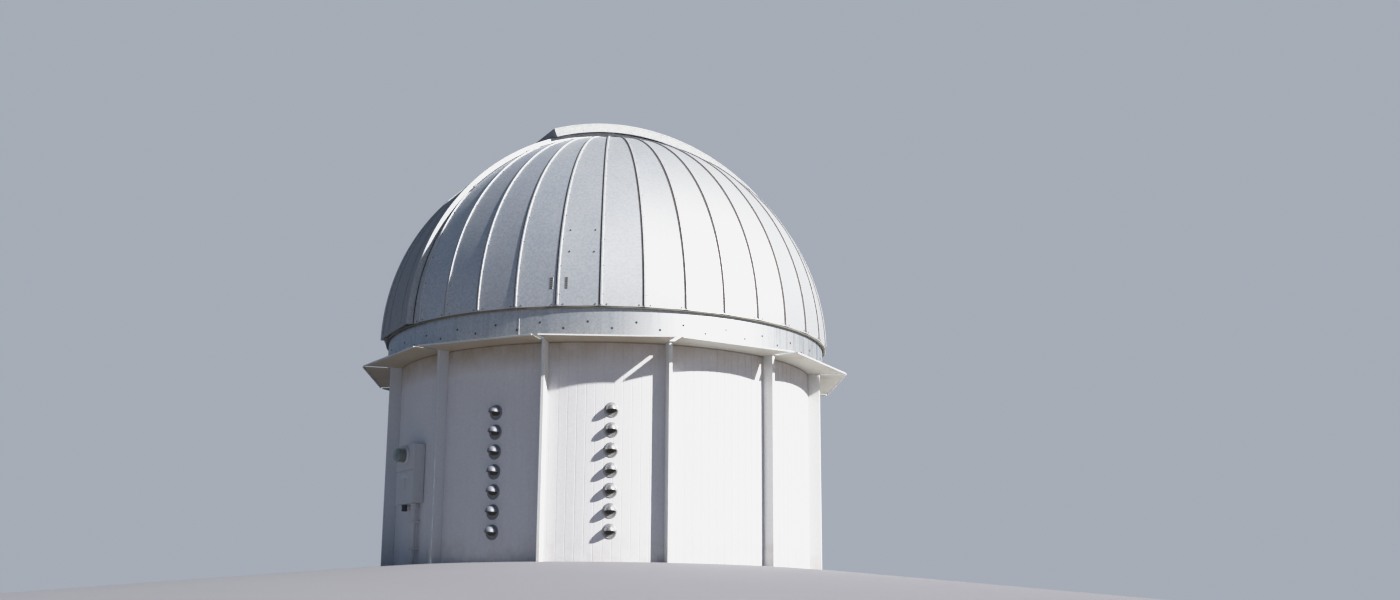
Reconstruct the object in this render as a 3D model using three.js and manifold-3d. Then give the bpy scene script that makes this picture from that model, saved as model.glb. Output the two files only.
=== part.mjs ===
// Small observatory dome on a round building: a sheet-metal hemisphere of 36 gores with an
// up-and-over shutter, on a round wall with radial fins under a twelve-sided eave.
// Millimetres, +Z up, origin on the ground at the centre of the building. Azimuth 0 looks
// along +Y from the front, so a point at azimuth a is (r sin a, -r cos a, z).
import * as THREE from 'three';
import { mergeVertices } from 'three/addons/utils/BufferGeometryUtils.js';
import Module from 'manifold-3d';

const wasm = await Module();
wasm.setup();

// Driving dimensions
const DOME_RADIUS = 2743;
const LIP_HEIGHT = 2743;
const DOME_CENTRE_HEIGHT = 2702;
const SHELL_THICKNESS = 20;
const GORES = 36;
const GORE_ANGLE = 360 / GORES;
const SEAM_START = -11.6;
const RIB_WIDTH = 28;
const RIB_HEIGHT = 20;

const BAYS = 12;
const BAY_ANGLE = 360 / BAYS;
const BAY_START = -15;
const WALL_OUTER = 2540;
const WALL_INNER = 2400;
const WALL_TOP = 2373;
const FIN_WIDTH = 38;
const FIN_OUTER = 2680;
const EAVE_APOTHEM = 2914;
const EAVE_THICKNESS = 15;
const EAVE_SLOT_WIDTH = 64;

const DRUM_OUTER = 2700;
const DRUM_THICKNESS = 16;
const DRUM_TOP = 2783;
const DRUM_JOINT = -21;
const RING_BEAM_INNER = 2480;
const RING_BEAM_TOP = 2752;

const BASE_RING_INNER = 2550;
const BASE_RING_APOTHEM = 2698;
const BASE_RING_BOTTOM = 2830;
const BASE_RING_TOP = 2900;
const ROLLER_CENTRE = 2625;
const ROLLER_RADIUS = 33;

const SLIT_AZIMUTH = -66.6;
const CURB_OUTER = 565;
const CURB_INNER = 505;
const CURB_TOP = 2746;
const CURB_BOTTOM = 2655;
const LEDGE_REACH = 60;
const LEDGE_TOP = 2690;
const LEDGE_BOTTOM = 2680;
const SLIT_END = 112;

const FRONT_SHEET = 2735;
const FRONT_THICKNESS = 10;
const FRONT_HALF_WIDTH = 499;
const FRONT_START = 1.1;
const FRONT_END = 71;
const UPPER_SHEET = 2847;
const UPPER_SKIRT = 2737;
const UPPER_HALF_WIDTH = 635;
const UPPER_START = 68.7;
const UPPER_END = 132;
const SHUTTER_THICKNESS = 16;

const DOOR_HALF_WIDTH = 450;
const DOOR_HEIGHT = 2050;
const DOOR_FRAME = 50;

const VENT_RADIUS = 78;
const VENT_ROWS = 7;
const VENT_TOP = 1632;
const VENT_PITCH = 217;
const VENT_MOUTH_ANGLE = 38;
const VENT_BAYS = { 0: 1.2, 11: -28.5 };

const CABINET_AZIMUTH = -57.9;
const CABINET_WIDTH = 440;
const CABINET_DEPTH = 140;
const CABINET_BOTTOM = 697;
const CABINET_TOP = 1370;
const METER_HEIGHT = 1245;

const GAP = 0.3;
const BIG = 4000;

// Angles, directions and points round the vertical axis
const radians = THREE.MathUtils.degToRad;

function around(azimuth, radius, side = 0, height = 0) {
  const a = radians(azimuth);
  const x = radius * Math.sin(a) + side * Math.cos(a);
  const y = -radius * Math.cos(a) + side * Math.sin(a);
  return new THREE.Vector3(x, y, height);
}

// A closed mesh from points and triangles, turned so that its faces point outwards
function closedMesh(positions, triangles) {
  let volume = 0;
  const corner = (i) => new THREE.Vector3().fromArray(positions, 3 * i);
  for (const [a, b, c] of triangles) {
    volume += corner(a).dot(corner(b).cross(corner(c)));
  }
  const facing = volume < 0 ? triangles.map(([a, b, c]) => [a, c, b]) : triangles;
  const geometry = new THREE.BufferGeometry();
  geometry.setAttribute('position', new THREE.Float32BufferAttribute(positions, 3));
  geometry.setIndex(facing.flat());
  return geometry;
}

// A section given as [radius, height] corners, carried round the vertical axis
function turned(section, from, to, steps) {
  const whole = to - from >= 360;
  const rings = whole ? steps : steps + 1;
  const count = section.length;
  const positions = [];
  for (let i = 0; i < rings; i += 1) {
    const azimuth = from + ((to - from) * i) / steps;
    section.forEach(([radius, height]) => positions.push(...around(azimuth, radius, 0, height)));
  }
  const triangles = [];
  for (let i = 0; i < steps; i += 1) {
    const near = i * count;
    const far = ((i + 1) % rings) * count;
    for (let j = 0; j < count; j += 1) {
      const k = (j + 1) % count;
      triangles.push([near + j, near + k, far + k], [near + j, far + k, far + j]);
    }
  }
  if (!whole) {
    const outline = section.map(([radius, height]) => new THREE.Vector2(radius, height));
    const last = steps * count;
    const winding = THREE.ShapeUtils.area(outline);
    THREE.ShapeUtils.triangulateShape(outline, []).forEach(([a, b, c]) => {
      const same = THREE.ShapeUtils.area([outline[a], outline[b], outline[c]]) * winding > 0;
      const cap = same ? [a, b, c] : [a, c, b];
      triangles.push(cap.toReversed(), cap.map((index) => index + last));
    });
  }
  return closedMesh(positions, triangles);
}

// A section given as [radius, offset from the slit's middle] corners, carried along the slit.
// The angle is 0 at the front of the slit, 90 at the top of the dome and 180 at the back.
const slitFrame = (() => {
  const front = around(SLIT_AZIMUTH, 1);
  const side = around(SLIT_AZIMUTH + 90, 1);
  const up = new THREE.Vector3(0, 0, 1);
  const basis = new THREE.Matrix4().makeBasis(up, front.negate(), side.negate());
  return basis.setPosition(0, 0, DOME_CENTRE_HEIGHT);
})();

function arched(section, from, to, steps) {
  const turnedSection = section.map(([radius, offset]) => [radius, -offset]);
  return turned(turnedSection, from, to, steps).applyMatrix4(slitFrame);
}

// Joining and cutting of closed meshes
function solid(geometry) {
  const bare = geometry.clone();
  bare.deleteAttribute('normal');
  bare.deleteAttribute('uv');
  const merged = mergeVertices(bare, 1e-3);
  const mesh = new wasm.Mesh({
    numProp: 3,
    vertProperties: new Float32Array(merged.attributes.position.array),
    triVerts: new Uint32Array(merged.index.array),
  });
  return new wasm.Manifold(mesh);
}

function surface(manifold) {
  const mesh = manifold.getMesh();
  const geometry = new THREE.BufferGeometry();
  geometry.setAttribute('position', new THREE.BufferAttribute(mesh.vertProperties, 3));
  geometry.setIndex(new THREE.BufferAttribute(mesh.triVerts, 1));
  return geometry;
}

function joined(...geometries) {
  return surface(geometries.map(solid).reduce((sum, next) => sum.add(next)));
}

function cut(geometry, ...cutters) {
  return surface(cutters.map(solid).reduce((rest, next) => rest.subtract(next), solid(geometry)));
}

function common(geometry, other) {
  return surface(solid(geometry).intersect(solid(other)));
}

// A box between two corners
function block([x0, y0, z0], [x1, y1, z1]) {
  const box = new THREE.BoxGeometry(x1 - x0, y1 - y0, z1 - z0);
  return box.translate((x0 + x1) / 2, (y0 + y1) / 2, (z0 + z1) / 2);
}

// A round bar along one of the axes between two heights on that axis
function roundBar(radius, low, high, sides, axis) {
  const bar = new THREE.CylinderGeometry(radius, radius, high - low, sides);
  bar.translate(0, (low + high) / 2, 0);
  if (axis === 'z') {
    bar.rotateX(Math.PI / 2);
  }
  return bar;
}

// Several separate solids in one mesh
function together(geometries) {
  const positions = [];
  const triangles = [];
  geometries.forEach((geometry) => {
    const start = positions.length / 3;
    positions.push(...geometry.attributes.position.array);
    const index = geometry.index.array;
    for (let i = 0; i < index.length; i += 3) {
      triangles.push([start + index[i], start + index[i + 1], start + index[i + 2]]);
    }
  });
  const geometry = new THREE.BufferGeometry();
  geometry.setAttribute('position', new THREE.Float32BufferAttribute(positions, 3));
  geometry.setIndex(triangles.flat());
  return geometry;
}

// Turns a piece that was made at azimuth 0 to its own azimuth
function facing(azimuth, geometry) {
  return geometry.rotateZ(radians(azimuth));
}

// Materials
function finish(color, roughness, metalness) {
  return () => new THREE.MeshStandardMaterial({ color, roughness, metalness });
}

const galvanised = finish(0xb9c2c9, 0.42, 0.85);
const whitePaint = finish(0xeceae4, 0.7, 0.0);
const whiteTrim = finish(0xf0efea, 0.6, 0.0);
const soffitPaint = finish(0xe0dad0, 0.75, 0.0);
const shutterMetal = finish(0xccd2d5, 0.4, 0.7);
const darkSteel = finish(0x4a4d50, 0.5, 0.8);
const cabinetPaint = finish(0xc9cac8, 0.55, 0.1);
const meterGlass = finish(0x2f3432, 0.2, 0.1);
const doorPaint = finish(0xdcdcd6, 0.6, 0.0);

const observatory = new THREE.Group();

function add(name, geometry, material) {
  const mesh = new THREE.Mesh(geometry, material());
  mesh.name = name;
  observatory.add(mesh);
}

// Round wall in twelve bays, with straight joints behind the fins
const wallSection = [[WALL_INNER, 0], [WALL_OUTER, 0], [WALL_OUTER, WALL_TOP], [WALL_INNER, WALL_TOP]];
const BAY_GAP = 0.004;
const BAY_STEPS = 6;
const DOOR_BAY = 6;

function wallBay(bay) {
  const from = BAY_START + bay * BAY_ANGLE;
  return turned(wallSection, from + BAY_GAP, from + BAY_ANGLE - BAY_GAP, BAY_STEPS);
}

// Vents: a column of round metal hoods on a wall bay, each open at its lower front
const HOOD_WALL = 6;
const HOOD_MOUTH_FORWARD = 20;
const HOOD_MOUTH_DROP = 34;
const HOOD_FLANGE_MARGIN = 6;
const HOOD_FLANGE_FACE = 8;
const HOOD_FLANGE_SUNK = 12;

function ventHood(azimuth, height) {
  const outside = new THREE.SphereGeometry(VENT_RADIUS, 12, 6);
  const inside = new THREE.SphereGeometry(VENT_RADIUS - HOOD_WALL, 12, 6);
  const behind = block([-BIG, 0, -BIG], [BIG, BIG, BIG]);
  const mouth = block([-BIG, -BIG, -BIG], [BIG, BIG, 0]).rotateX(radians(VENT_MOUTH_ANGLE));
  mouth.translate(0, -HOOD_MOUTH_FORWARD, -HOOD_MOUTH_DROP);
  const flange = roundBar(VENT_RADIUS + HOOD_FLANGE_MARGIN, -HOOD_FLANGE_FACE, HOOD_FLANGE_SUNK, 12, 'y');
  const hood = joined(cut(outside, inside, behind, mouth), flange);
  return facing(azimuth, hood.translate(0, -WALL_OUTER, height));
}

function ventColumn(azimuth) {
  return Array.from({ length: VENT_ROWS }, (_, i) => ventHood(azimuth, VENT_TOP - i * VENT_PITCH));
}

for (let bay = 0; bay < BAYS; bay += 1) {
  const ventAzimuth = VENT_BAYS[bay];
  if (ventAzimuth !== undefined) {
    const side = bay === 0 ? 'right' : 'left';
    add(`vented_wall_${side}`, joined(wallBay(bay), ...ventColumn(ventAzimuth)), whitePaint);
  } else if (bay !== DOOR_BAY) {
    add(`wall_bay_${String(bay + 1).padStart(2, '0')}`, wallBay(bay), whitePaint);
  }
}

// Doorway in the back bay, with the wall beside it and over it
const ROUGH_HALF = DOOR_HALF_WIDTH + DOOR_FRAME;
const ROUGH_HEIGHT = DOOR_HEIGHT + DOOR_FRAME;
const doorBay = wallBay(DOOR_BAY);
const besideRight = block([ROUGH_HALF, 0, -BIG], [BIG, BIG, BIG]);
const besideLeft = block([-BIG, 0, -BIG], [-ROUGH_HALF, BIG, BIG]);
const overDoor = block([-ROUGH_HALF + GAP, 0, ROUGH_HEIGHT + GAP], [ROUGH_HALF - GAP, BIG, BIG]);
add('wall_beside_door_right', common(doorBay, besideRight), whitePaint);
add('wall_beside_door_left', common(doorBay, besideLeft), whitePaint);
add('wall_over_door', common(doorBay, overDoor), whitePaint);

const FRAME_BACK = 2375;
const FRAME_FACE = 2560;
const LEAF_BACK = 2480;
const LEAF_THICKNESS = 44;
const LEAF_CLEARANCE = 3;
const LEAF_FOOT = 6;
const KNOB_INSET = 70;
const KNOB_HEIGHT = 1000;
const KNOB_RADIUS = 28;
const KNOB_REACH = 118;
const KNOB_DEPTH = 28;
const SPINDLE_RADIUS = 14;
const frameBlock = block(
  [-ROUGH_HALF + GAP, FRAME_BACK, 0],
  [ROUGH_HALF - GAP, FRAME_FACE, ROUGH_HEIGHT],
);
const doorway = block([-DOOR_HALF_WIDTH, 0, -BIG], [DOOR_HALF_WIDTH, BIG, DOOR_HEIGHT]);
add('door_frame', cut(frameBlock, doorway), whiteTrim);
const leafHalf = DOOR_HALF_WIDTH - LEAF_CLEARANCE;
const leafTop = DOOR_HEIGHT - LEAF_CLEARANCE;
const hingeEdge = -DOOR_HALF_WIDTH + GAP;
const leaf = block([hingeEdge, LEAF_BACK, LEAF_FOOT], [leafHalf, LEAF_BACK + LEAF_THICKNESS, leafTop]);
const knobFace = LEAF_BACK + KNOB_REACH;
const knobBack = knobFace - KNOB_DEPTH;
const spindle = roundBar(SPINDLE_RADIUS, LEAF_BACK + LEAF_THICKNESS / 2, knobBack + KNOB_DEPTH / 2, 10, 'y');
const knob = joined(spindle, roundBar(KNOB_RADIUS, knobBack, knobFace, 12, 'y'));
add('door_leaf', joined(leaf, knob.translate(leafHalf - KNOB_INSET, 0, KNOB_HEIGHT)), doorPaint);

// Fin frames: three deep narrow posts that stand out from the wall, and the ring beam they carry
const eaveTop = WALL_TOP + EAVE_THICKNESS + GAP;
const FIN_SEAT = 10;

function fin(index) {
  const half = FIN_WIDTH / 2;
  const post = block([-half, -FIN_OUTER + GAP, 0], [half, -WALL_OUTER - GAP, eaveTop + FIN_SEAT]);
  return facing(BAY_START + index * BAY_ANGLE, post);
}

const beamSection = [
  [RING_BEAM_INNER, eaveTop],
  [FIN_OUTER, eaveTop],
  [FIN_OUTER, RING_BEAM_TOP],
  [RING_BEAM_INNER, RING_BEAM_TOP],
];

function quarterNames(word) {
  return ['front', 'right', 'back', 'left'].map((side) => `${word}_${side}`);
}

quarterNames('fin_frame').forEach((name, quarter) => {
  const first = quarter * 3 - 1;
  const from = BAY_START + first * BAY_ANGLE - BAY_ANGLE / 2;
  const beam = turned(beamSection, from + BAY_GAP, from + 90 - BAY_GAP, 18);
  add(name, joined(beam, fin(first), fin(first + 1), fin(first + 2)), whiteTrim);
});

// Eave: flat plates on the wall, one over each bay. They fit round each fin, and beyond it they are
// parted by a wider slot that runs out to the corner.
function eaveQuarter(firstBay) {
  const from = BAY_START + firstBay * BAY_ANGLE;
  const cornerRadius = EAVE_APOTHEM / Math.cos(radians(BAY_ANGLE / 2));
  const outline = [];
  const bays = 3;
  for (let i = 0; i <= bays; i += 1) {
    const turnIn = i === 0 ? BAY_GAP : i === bays ? -BAY_GAP : 0;
    outline.push(around(from + i * BAY_ANGLE + turnIn, cornerRadius));
  }
  const innerSteps = bays * BAY_STEPS;
  for (let i = innerSteps; i >= 0; i -= 1) {
    const turnIn = i === 0 ? BAY_GAP : i === innerSteps ? -BAY_GAP : 0;
    outline.push(around(from + (i * BAY_ANGLE) / BAY_STEPS + turnIn, WALL_INNER));
  }
  const shape = new THREE.Shape(outline.map((point) => new THREE.Vector2(point.x, point.y)));
  const plate = new THREE.ExtrudeGeometry(shape, { depth: EAVE_THICKNESS - GAP, bevelEnabled: false });
  plate.translate(0, 0, WALL_TOP + GAP);
  const besideFin = FIN_WIDTH / 2 + GAP;
  const beyondFin = EAVE_SLOT_WIDTH / 2;
  const slots = Array.from({ length: bays + 1 }, (_, i) => {
    const notch = block([-besideFin, -BIG, 0], [besideFin, -WALL_OUTER, BIG]);
    const slot = block([-beyondFin, -BIG, 0], [beyondFin, -FIN_OUTER, BIG]);
    return facing(from + i * BAY_ANGLE, joined(notch, slot));
  });
  return cut(plate, ...slots);
}

quarterNames('eave').forEach((name, quarter) => {
  add(name, eaveQuarter(quarter * 3 - 1), soffitPaint);
});

// Drum of sheet metal round the ring beam
const drumSection = [
  [DRUM_OUTER - DRUM_THICKNESS, eaveTop],
  [DRUM_OUTER, eaveTop],
  [DRUM_OUTER, DRUM_TOP],
  [DRUM_OUTER - DRUM_THICKNESS, DRUM_TOP],
];
['drum_front_right', 'drum_back_left'].forEach((name, half) => {
  const from = DRUM_JOINT + half * 180;
  add(name, turned(drumSection, from + BAY_GAP, from + 180 - BAY_GAP, 36), galvanised);
});

// Support rollers: a wheel in a fork at each fin, on one steel ring plate on the ring beam
const PLATE_THICKNESS = 10;
const PLATE_HALF_WIDTH = 45;
const FORK_HALF_WIDTH = 42;
const FORK_HALF_LENGTH = 30;
const FORK_CHEEK = 12;
const FORK_TOP_OVER_AXLE = 18;
const FORK_SUNK = 4;
const WHEEL_HALF_WIDTH = 24;
const PIN_RADIUS = 8;
const plateBottom = RING_BEAM_TOP + GAP;
const plateTop = plateBottom + PLATE_THICKNESS;
const plateSection = [
  [ROLLER_CENTRE - PLATE_HALF_WIDTH, plateBottom],
  [ROLLER_CENTRE + PLATE_HALF_WIDTH, plateBottom],
  [ROLLER_CENTRE + PLATE_HALF_WIDTH, plateTop],
  [ROLLER_CENTRE - PLATE_HALF_WIDTH, plateTop],
];

function supportRoller(index) {
  const axle = BASE_RING_BOTTOM - GAP - ROLLER_RADIUS;
  const seat = plateTop - FORK_SUNK;
  const cheekTop = axle + FORK_TOP_OVER_AXLE;
  const cheeks = [-FORK_HALF_WIDTH, FORK_HALF_WIDTH - FORK_CHEEK].map((start) =>
    block([-FORK_HALF_LENGTH, start, seat], [FORK_HALF_LENGTH, start + FORK_CHEEK, cheekTop]),
  );
  const wheel = roundBar(ROLLER_RADIUS, -WHEEL_HALF_WIDTH, WHEEL_HALF_WIDTH, 12, 'y').translate(0, 0, axle);
  const pinHalf = FORK_HALF_WIDTH - FORK_CHEEK / 2;
  const pin = roundBar(PIN_RADIUS, -pinHalf, pinHalf, 6, 'y').translate(0, 0, axle);
  const roller = joined(...cheeks, wheel, pin).translate(0, -ROLLER_CENTRE, 0);
  return facing(BAY_START + index * BAY_ANGLE, roller);
}

const rollers = Array.from({ length: BAYS }, (_, i) => supportRoller(i));
add('support_rollers', joined(turned(plateSection, 0, 360, 36), ...rollers), darkSteel);

// Electrical cabinet with its meter and conduit on the left side of the wall
const cabinetToWallCorner = Math.abs(CABINET_AZIMUTH + 60);
const cabinetBack = WALL_OUTER * Math.cos(radians(cabinetToWallCorner)) + GAP;
const cabinetFace = cabinetBack + CABINET_DEPTH;
const cabinetHalf = CABINET_WIDTH / 2;
const cabinet = block(
  [-cabinetHalf, -cabinetFace, CABINET_BOTTOM],
  [cabinetHalf, -cabinetBack, CABINET_TOP],
);
const PIPE_FROM_WALL = 62;
const HUB_LENGTH = 70;
const HUB_SUNK = 10;
const SHORT_HUB_RADIUS = 34;
const SHORT_HUB_SIDE = -130;
const shortHub = roundBar(SHORT_HUB_RADIUS, CABINET_BOTTOM - HUB_LENGTH, CABINET_BOTTOM + HUB_SUNK, 12, 'z');
shortHub.translate(SHORT_HUB_SIDE, -cabinetBack - PIPE_FROM_WALL, 0);
add('electrical_cabinet', facing(CABINET_AZIMUTH, joined(cabinet, shortHub)), cabinetPaint);

const METER_RING_RADIUS = 102;
const METER_RING_DEPTH = 24;
const METER_COVER_RADIUS = 80;
const METER_REACH = 125;
const meterBack = -cabinetFace - GAP;
const meterRing = roundBar(METER_RING_RADIUS, meterBack - METER_RING_DEPTH, meterBack, 24, 'y');
const coverBack = meterBack - METER_RING_DEPTH / 2;
const meterCover = roundBar(METER_COVER_RADIUS, meterBack - METER_REACH, coverBack, 24, 'y');
const meter = joined(meterRing, meterCover).translate(0, 0, METER_HEIGHT);
add('electric_meter', facing(CABINET_AZIMUTH, meter), meterGlass);

const CONDUIT_SIDE = 120;
const CONDUIT_RADIUS = 30;
const CONDUIT_HUB_RADIUS = 42;
const CONDUIT_HUB_LENGTH = 60;
const conduitTop = CABINET_BOTTOM - GAP;
const riser = roundBar(CONDUIT_RADIUS, 0, conduitTop, 12, 'z');
const riserHub = roundBar(CONDUIT_HUB_RADIUS, conduitTop - CONDUIT_HUB_LENGTH, conduitTop, 12, 'z');
const conduit = joined(riser, riserHub).translate(CONDUIT_SIDE, -cabinetBack - PIPE_FROM_WALL, 0);
add('cabinet_conduit', facing(CABINET_AZIMUTH, conduit), cabinetPaint);

// Dome base ring, running on the rollers
const ringRadius = BASE_RING_APOTHEM / Math.cos(radians(GORE_ANGLE / 2));
const baseRingSection = [
  [BASE_RING_INNER, BASE_RING_BOTTOM],
  [ringRadius, BASE_RING_BOTTOM],
  [ringRadius, BASE_RING_TOP],
  [BASE_RING_INNER, BASE_RING_TOP],
];
add('dome_base_ring', turned(baseRingSection, SEAM_START, SEAM_START + 360, GORES), darkSteel);

// Dome skin: flat gores between the seams, cut off at the curbs of the slit
const SHELL_ROWS = 10;
const SHELL_TOP_ANGLE = 84;
const SECTOR_GAP = 0.006;

function shellSection() {
  const outer = [];
  const inner = [];
  const innerRadius = DOME_RADIUS - SHELL_THICKNESS;
  const startOuter = Math.asin((LIP_HEIGHT - DOME_CENTRE_HEIGHT) / DOME_RADIUS);
  const startInner = Math.asin((LIP_HEIGHT - DOME_CENTRE_HEIGHT) / innerRadius);
  const end = radians(SHELL_TOP_ANGLE);
  for (let i = 0; i <= SHELL_ROWS; i += 1) {
    const share = i / SHELL_ROWS;
    const a = startOuter + (end - startOuter) * share;
    const b = startInner + (end - startInner) * share;
    outer.push([DOME_RADIUS * Math.cos(a), DOME_CENTRE_HEIGHT + DOME_RADIUS * Math.sin(a)]);
    inner.push([innerRadius * Math.cos(b), DOME_CENTRE_HEIGHT + innerRadius * Math.sin(b)]);
  }
  return [...outer, ...inner.reverse()];
}

const skinCut = CURB_OUTER + GAP;
const slitBand = block([-skinCut, -BIG, 0], [skinCut, BIG, 2 * BIG]).rotateZ(radians(SLIT_AZIMUTH));

// Standing rib on a seam, from the lip up to the slit
const LIP_ANGLE = THREE.MathUtils.radToDeg(Math.asin((LIP_HEIGHT - DOME_CENTRE_HEIGHT) / DOME_RADIUS));
const RIB_SUNK = 6;

function seamRib(seam) {
  const azimuth = SEAM_START + seam * GORE_ANGLE;
  const low = DOME_RADIUS - RIB_SUNK;
  const high = DOME_RADIUS + RIB_HEIGHT;
  const half = RIB_WIDTH / 2;
  const section = [[low, -half], [high, -half], [high, half], [low, half]];
  const up = new THREE.Vector3(0, 0, 1);
  const basis = new THREE.Matrix4().makeBasis(up, around(azimuth, -1), around(azimuth + 90, -1));
  return turned(section, LIP_ANGLE, SHELL_TOP_ANGLE, SHELL_ROWS).applyMatrix4(
    basis.setPosition(0, 0, DOME_CENTRE_HEIGHT),
  );
}

const shell = turned(shellSection(), SEAM_START, SEAM_START + 360, GORES);
const ribs = Array.from({ length: GORES }, (_, seam) => seamRib(seam));
const ribbedShell = cut(joined(shell, together(ribs)), slitBand);

// Sectors of the skin, parted in the middle of a gore
const MIDDLE_START = SEAM_START + GORE_ANGLE / 2;
const sectors = {
  dome_panels_left: [-6, 0],
  dome_panels_front: [0, 5],
  dome_panels_right: [5, 12],
  dome_panels_back_right: [12, 18],
  dome_panels_back: [18, 23],
  dome_panels_back_left: [23, 30],
};
const POLE_GAP = 50;
const wedgeSection = [[POLE_GAP, 0], [BIG, 0], [BIG, 2 * BIG], [POLE_GAP, 2 * BIG]];
Object.entries(sectors).forEach(([name, [first, last]]) => {
  const from = MIDDLE_START + first * GORE_ANGLE + SECTOR_GAP;
  const to = MIDDLE_START + last * GORE_ANGLE - SECTOR_GAP;
  const wedge = turned(wedgeSection, from, to, last - first);
  add(name, common(ribbedShell, wedge), galvanised);
});

// Curbs of the slit: two arches from lip to lip, each with a ledge inside for the front shutter.
// Their feet end at the lip, and inside it they end just over the base ring.
const CURB_STEPS = 36;
const CURB_FOOT_INNER = 2722;
const footInside = DOME_RADIUS / 2;
const footCutSection = [
  [footInside, 0],
  [BIG, 0],
  [BIG, LIP_HEIGHT],
  [CURB_FOOT_INNER, LIP_HEIGHT],
  [CURB_FOOT_INNER, BASE_RING_TOP + GAP],
  [footInside, BASE_RING_TOP + GAP],
];
const footCut = turned(footCutSection, 0, 360, 2 * GORES);

function curb(side) {
  const section = [
    [CURB_BOTTOM, side * CURB_OUTER],
    [CURB_TOP, side * CURB_OUTER],
    [CURB_TOP, side * CURB_INNER],
    [LEDGE_TOP, side * CURB_INNER],
    [LEDGE_TOP, side * (CURB_INNER - LEDGE_REACH)],
    [LEDGE_BOTTOM, side * (CURB_INNER - LEDGE_REACH)],
    [LEDGE_BOTTOM, side * CURB_INNER],
    [CURB_BOTTOM, side * CURB_INNER],
  ];
  return cut(arched(section, 0, 180, CURB_STEPS), footCut);
}

add('slit_curb_near', curb(1), shutterMetal);
add('slit_curb_far', curb(-1), shutterMetal);

// A sheet bent along the slit with both its edges turned down
function channel(top, skirtBottom, halfWidth, thickness) {
  return [
    [skirtBottom, -halfWidth],
    [top, -halfWidth],
    [top, halfWidth],
    [skirtBottom, halfWidth],
    [skirtBottom, halfWidth - thickness],
    [top - thickness, halfWidth - thickness],
    [top - thickness, -halfWidth + thickness],
    [skirtBottom, -halfWidth + thickness],
  ];
}

// Skin between the curbs behind the slit
const REAR_SHEET = 2718;
const REAR_THICKNESS = 11;
const REAR_HALF_WIDTH = 473;
const REAR_END = 179;
const LEDGE_CLEARANCE = 1.5;
const skirtOnLedge = LEDGE_TOP + LEDGE_CLEARANCE;
const rearSection = channel(REAR_SHEET, skirtOnLedge, REAR_HALF_WIDTH, REAR_THICKNESS);
add('rear_panel', arched(rearSection, SLIT_END, REAR_END, 22), galvanised);

// Front shutter, running on the ledges between the curbs
const frontSection = channel(FRONT_SHEET, skirtOnLedge, FRONT_HALF_WIDTH, FRONT_THICKNESS);
add('front_shutter', arched(frontSection, FRONT_START, FRONT_END, 23), shutterMetal);

// Upper shutter, running over the curbs: a skin that is closed at both ends and carried on four
// runners, and a side sheet hanging from each of its edges
const UPPER_STEPS = 22;
const END_PLATE_BOTTOM = 2755;
const END_PLATE_ANGLE = 0.35;
const RUNNER_ANGLE = 2;
const RUNNER_CENTRES = [85, 120];
const RUNNER_INSET = 10;
const sheetUnderside = UPPER_SHEET - SHUTTER_THICKNESS;
const sheetMiddle = UPPER_SHEET - SHUTTER_THICKNESS / 2;
const runnerBottom = (CURB_TOP + GAP) / Math.cos(radians(RUNNER_ANGLE / 2));

// A section with four corners, between two radii and two offsets
function oblong(low, high, first, second) {
  return [[low, first], [high, first], [high, second], [low, second]];
}

function endPlate(from) {
  const half = UPPER_HALF_WIDTH - SHUTTER_THICKNESS - GAP;
  return arched(oblong(END_PLATE_BOTTOM, sheetMiddle, -half, half), from, from + END_PLATE_ANGLE, 1);
}

function runner(centre, side) {
  const from = centre - RUNNER_ANGLE / 2;
  const outer = side * (CURB_OUTER - RUNNER_INSET);
  const inner = side * (CURB_INNER + RUNNER_INSET);
  return arched(oblong(runnerBottom, sheetMiddle, inner, outer), from, from + RUNNER_ANGLE, 1);
}

function sideSheet(side) {
  const inner = side * (UPPER_HALF_WIDTH - SHUTTER_THICKNESS);
  const section = oblong(UPPER_SKIRT, sheetUnderside - GAP, inner, side * UPPER_HALF_WIDTH);
  return arched(section, UPPER_START, UPPER_END, UPPER_STEPS);
}

const skinSection = oblong(sheetUnderside, UPPER_SHEET, -UPPER_HALF_WIDTH, UPPER_HALF_WIDTH);
const skin = arched(skinSection, UPPER_START, UPPER_END, UPPER_STEPS);
const endPlates = [endPlate(UPPER_START), endPlate(UPPER_END - END_PLATE_ANGLE)];
const runners = RUNNER_CENTRES.flatMap((centre) => [runner(centre, 1), runner(centre, -1)]);
add('upper_shutter', joined(skin, ...endPlates, ...runners), shutterMetal);
add('upper_shutter_side_near', sideSheet(1), shutterMetal);
add('upper_shutter_side_far', sideSheet(-1), shutterMetal);

export default observatory;
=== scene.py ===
"""Observatory dome: the finish of every surface, and the fine surfaces that stand for the plain solids.

Metres, +Z up. An azimuth is counted from the front, so a point at azimuth a is (r sin a, -r cos a, z).
"""
import math

import bpy
import numpy as np
from bpy.props import FloatProperty, FloatVectorProperty, IntProperty, PointerProperty
from mathutils import Matrix


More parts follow.
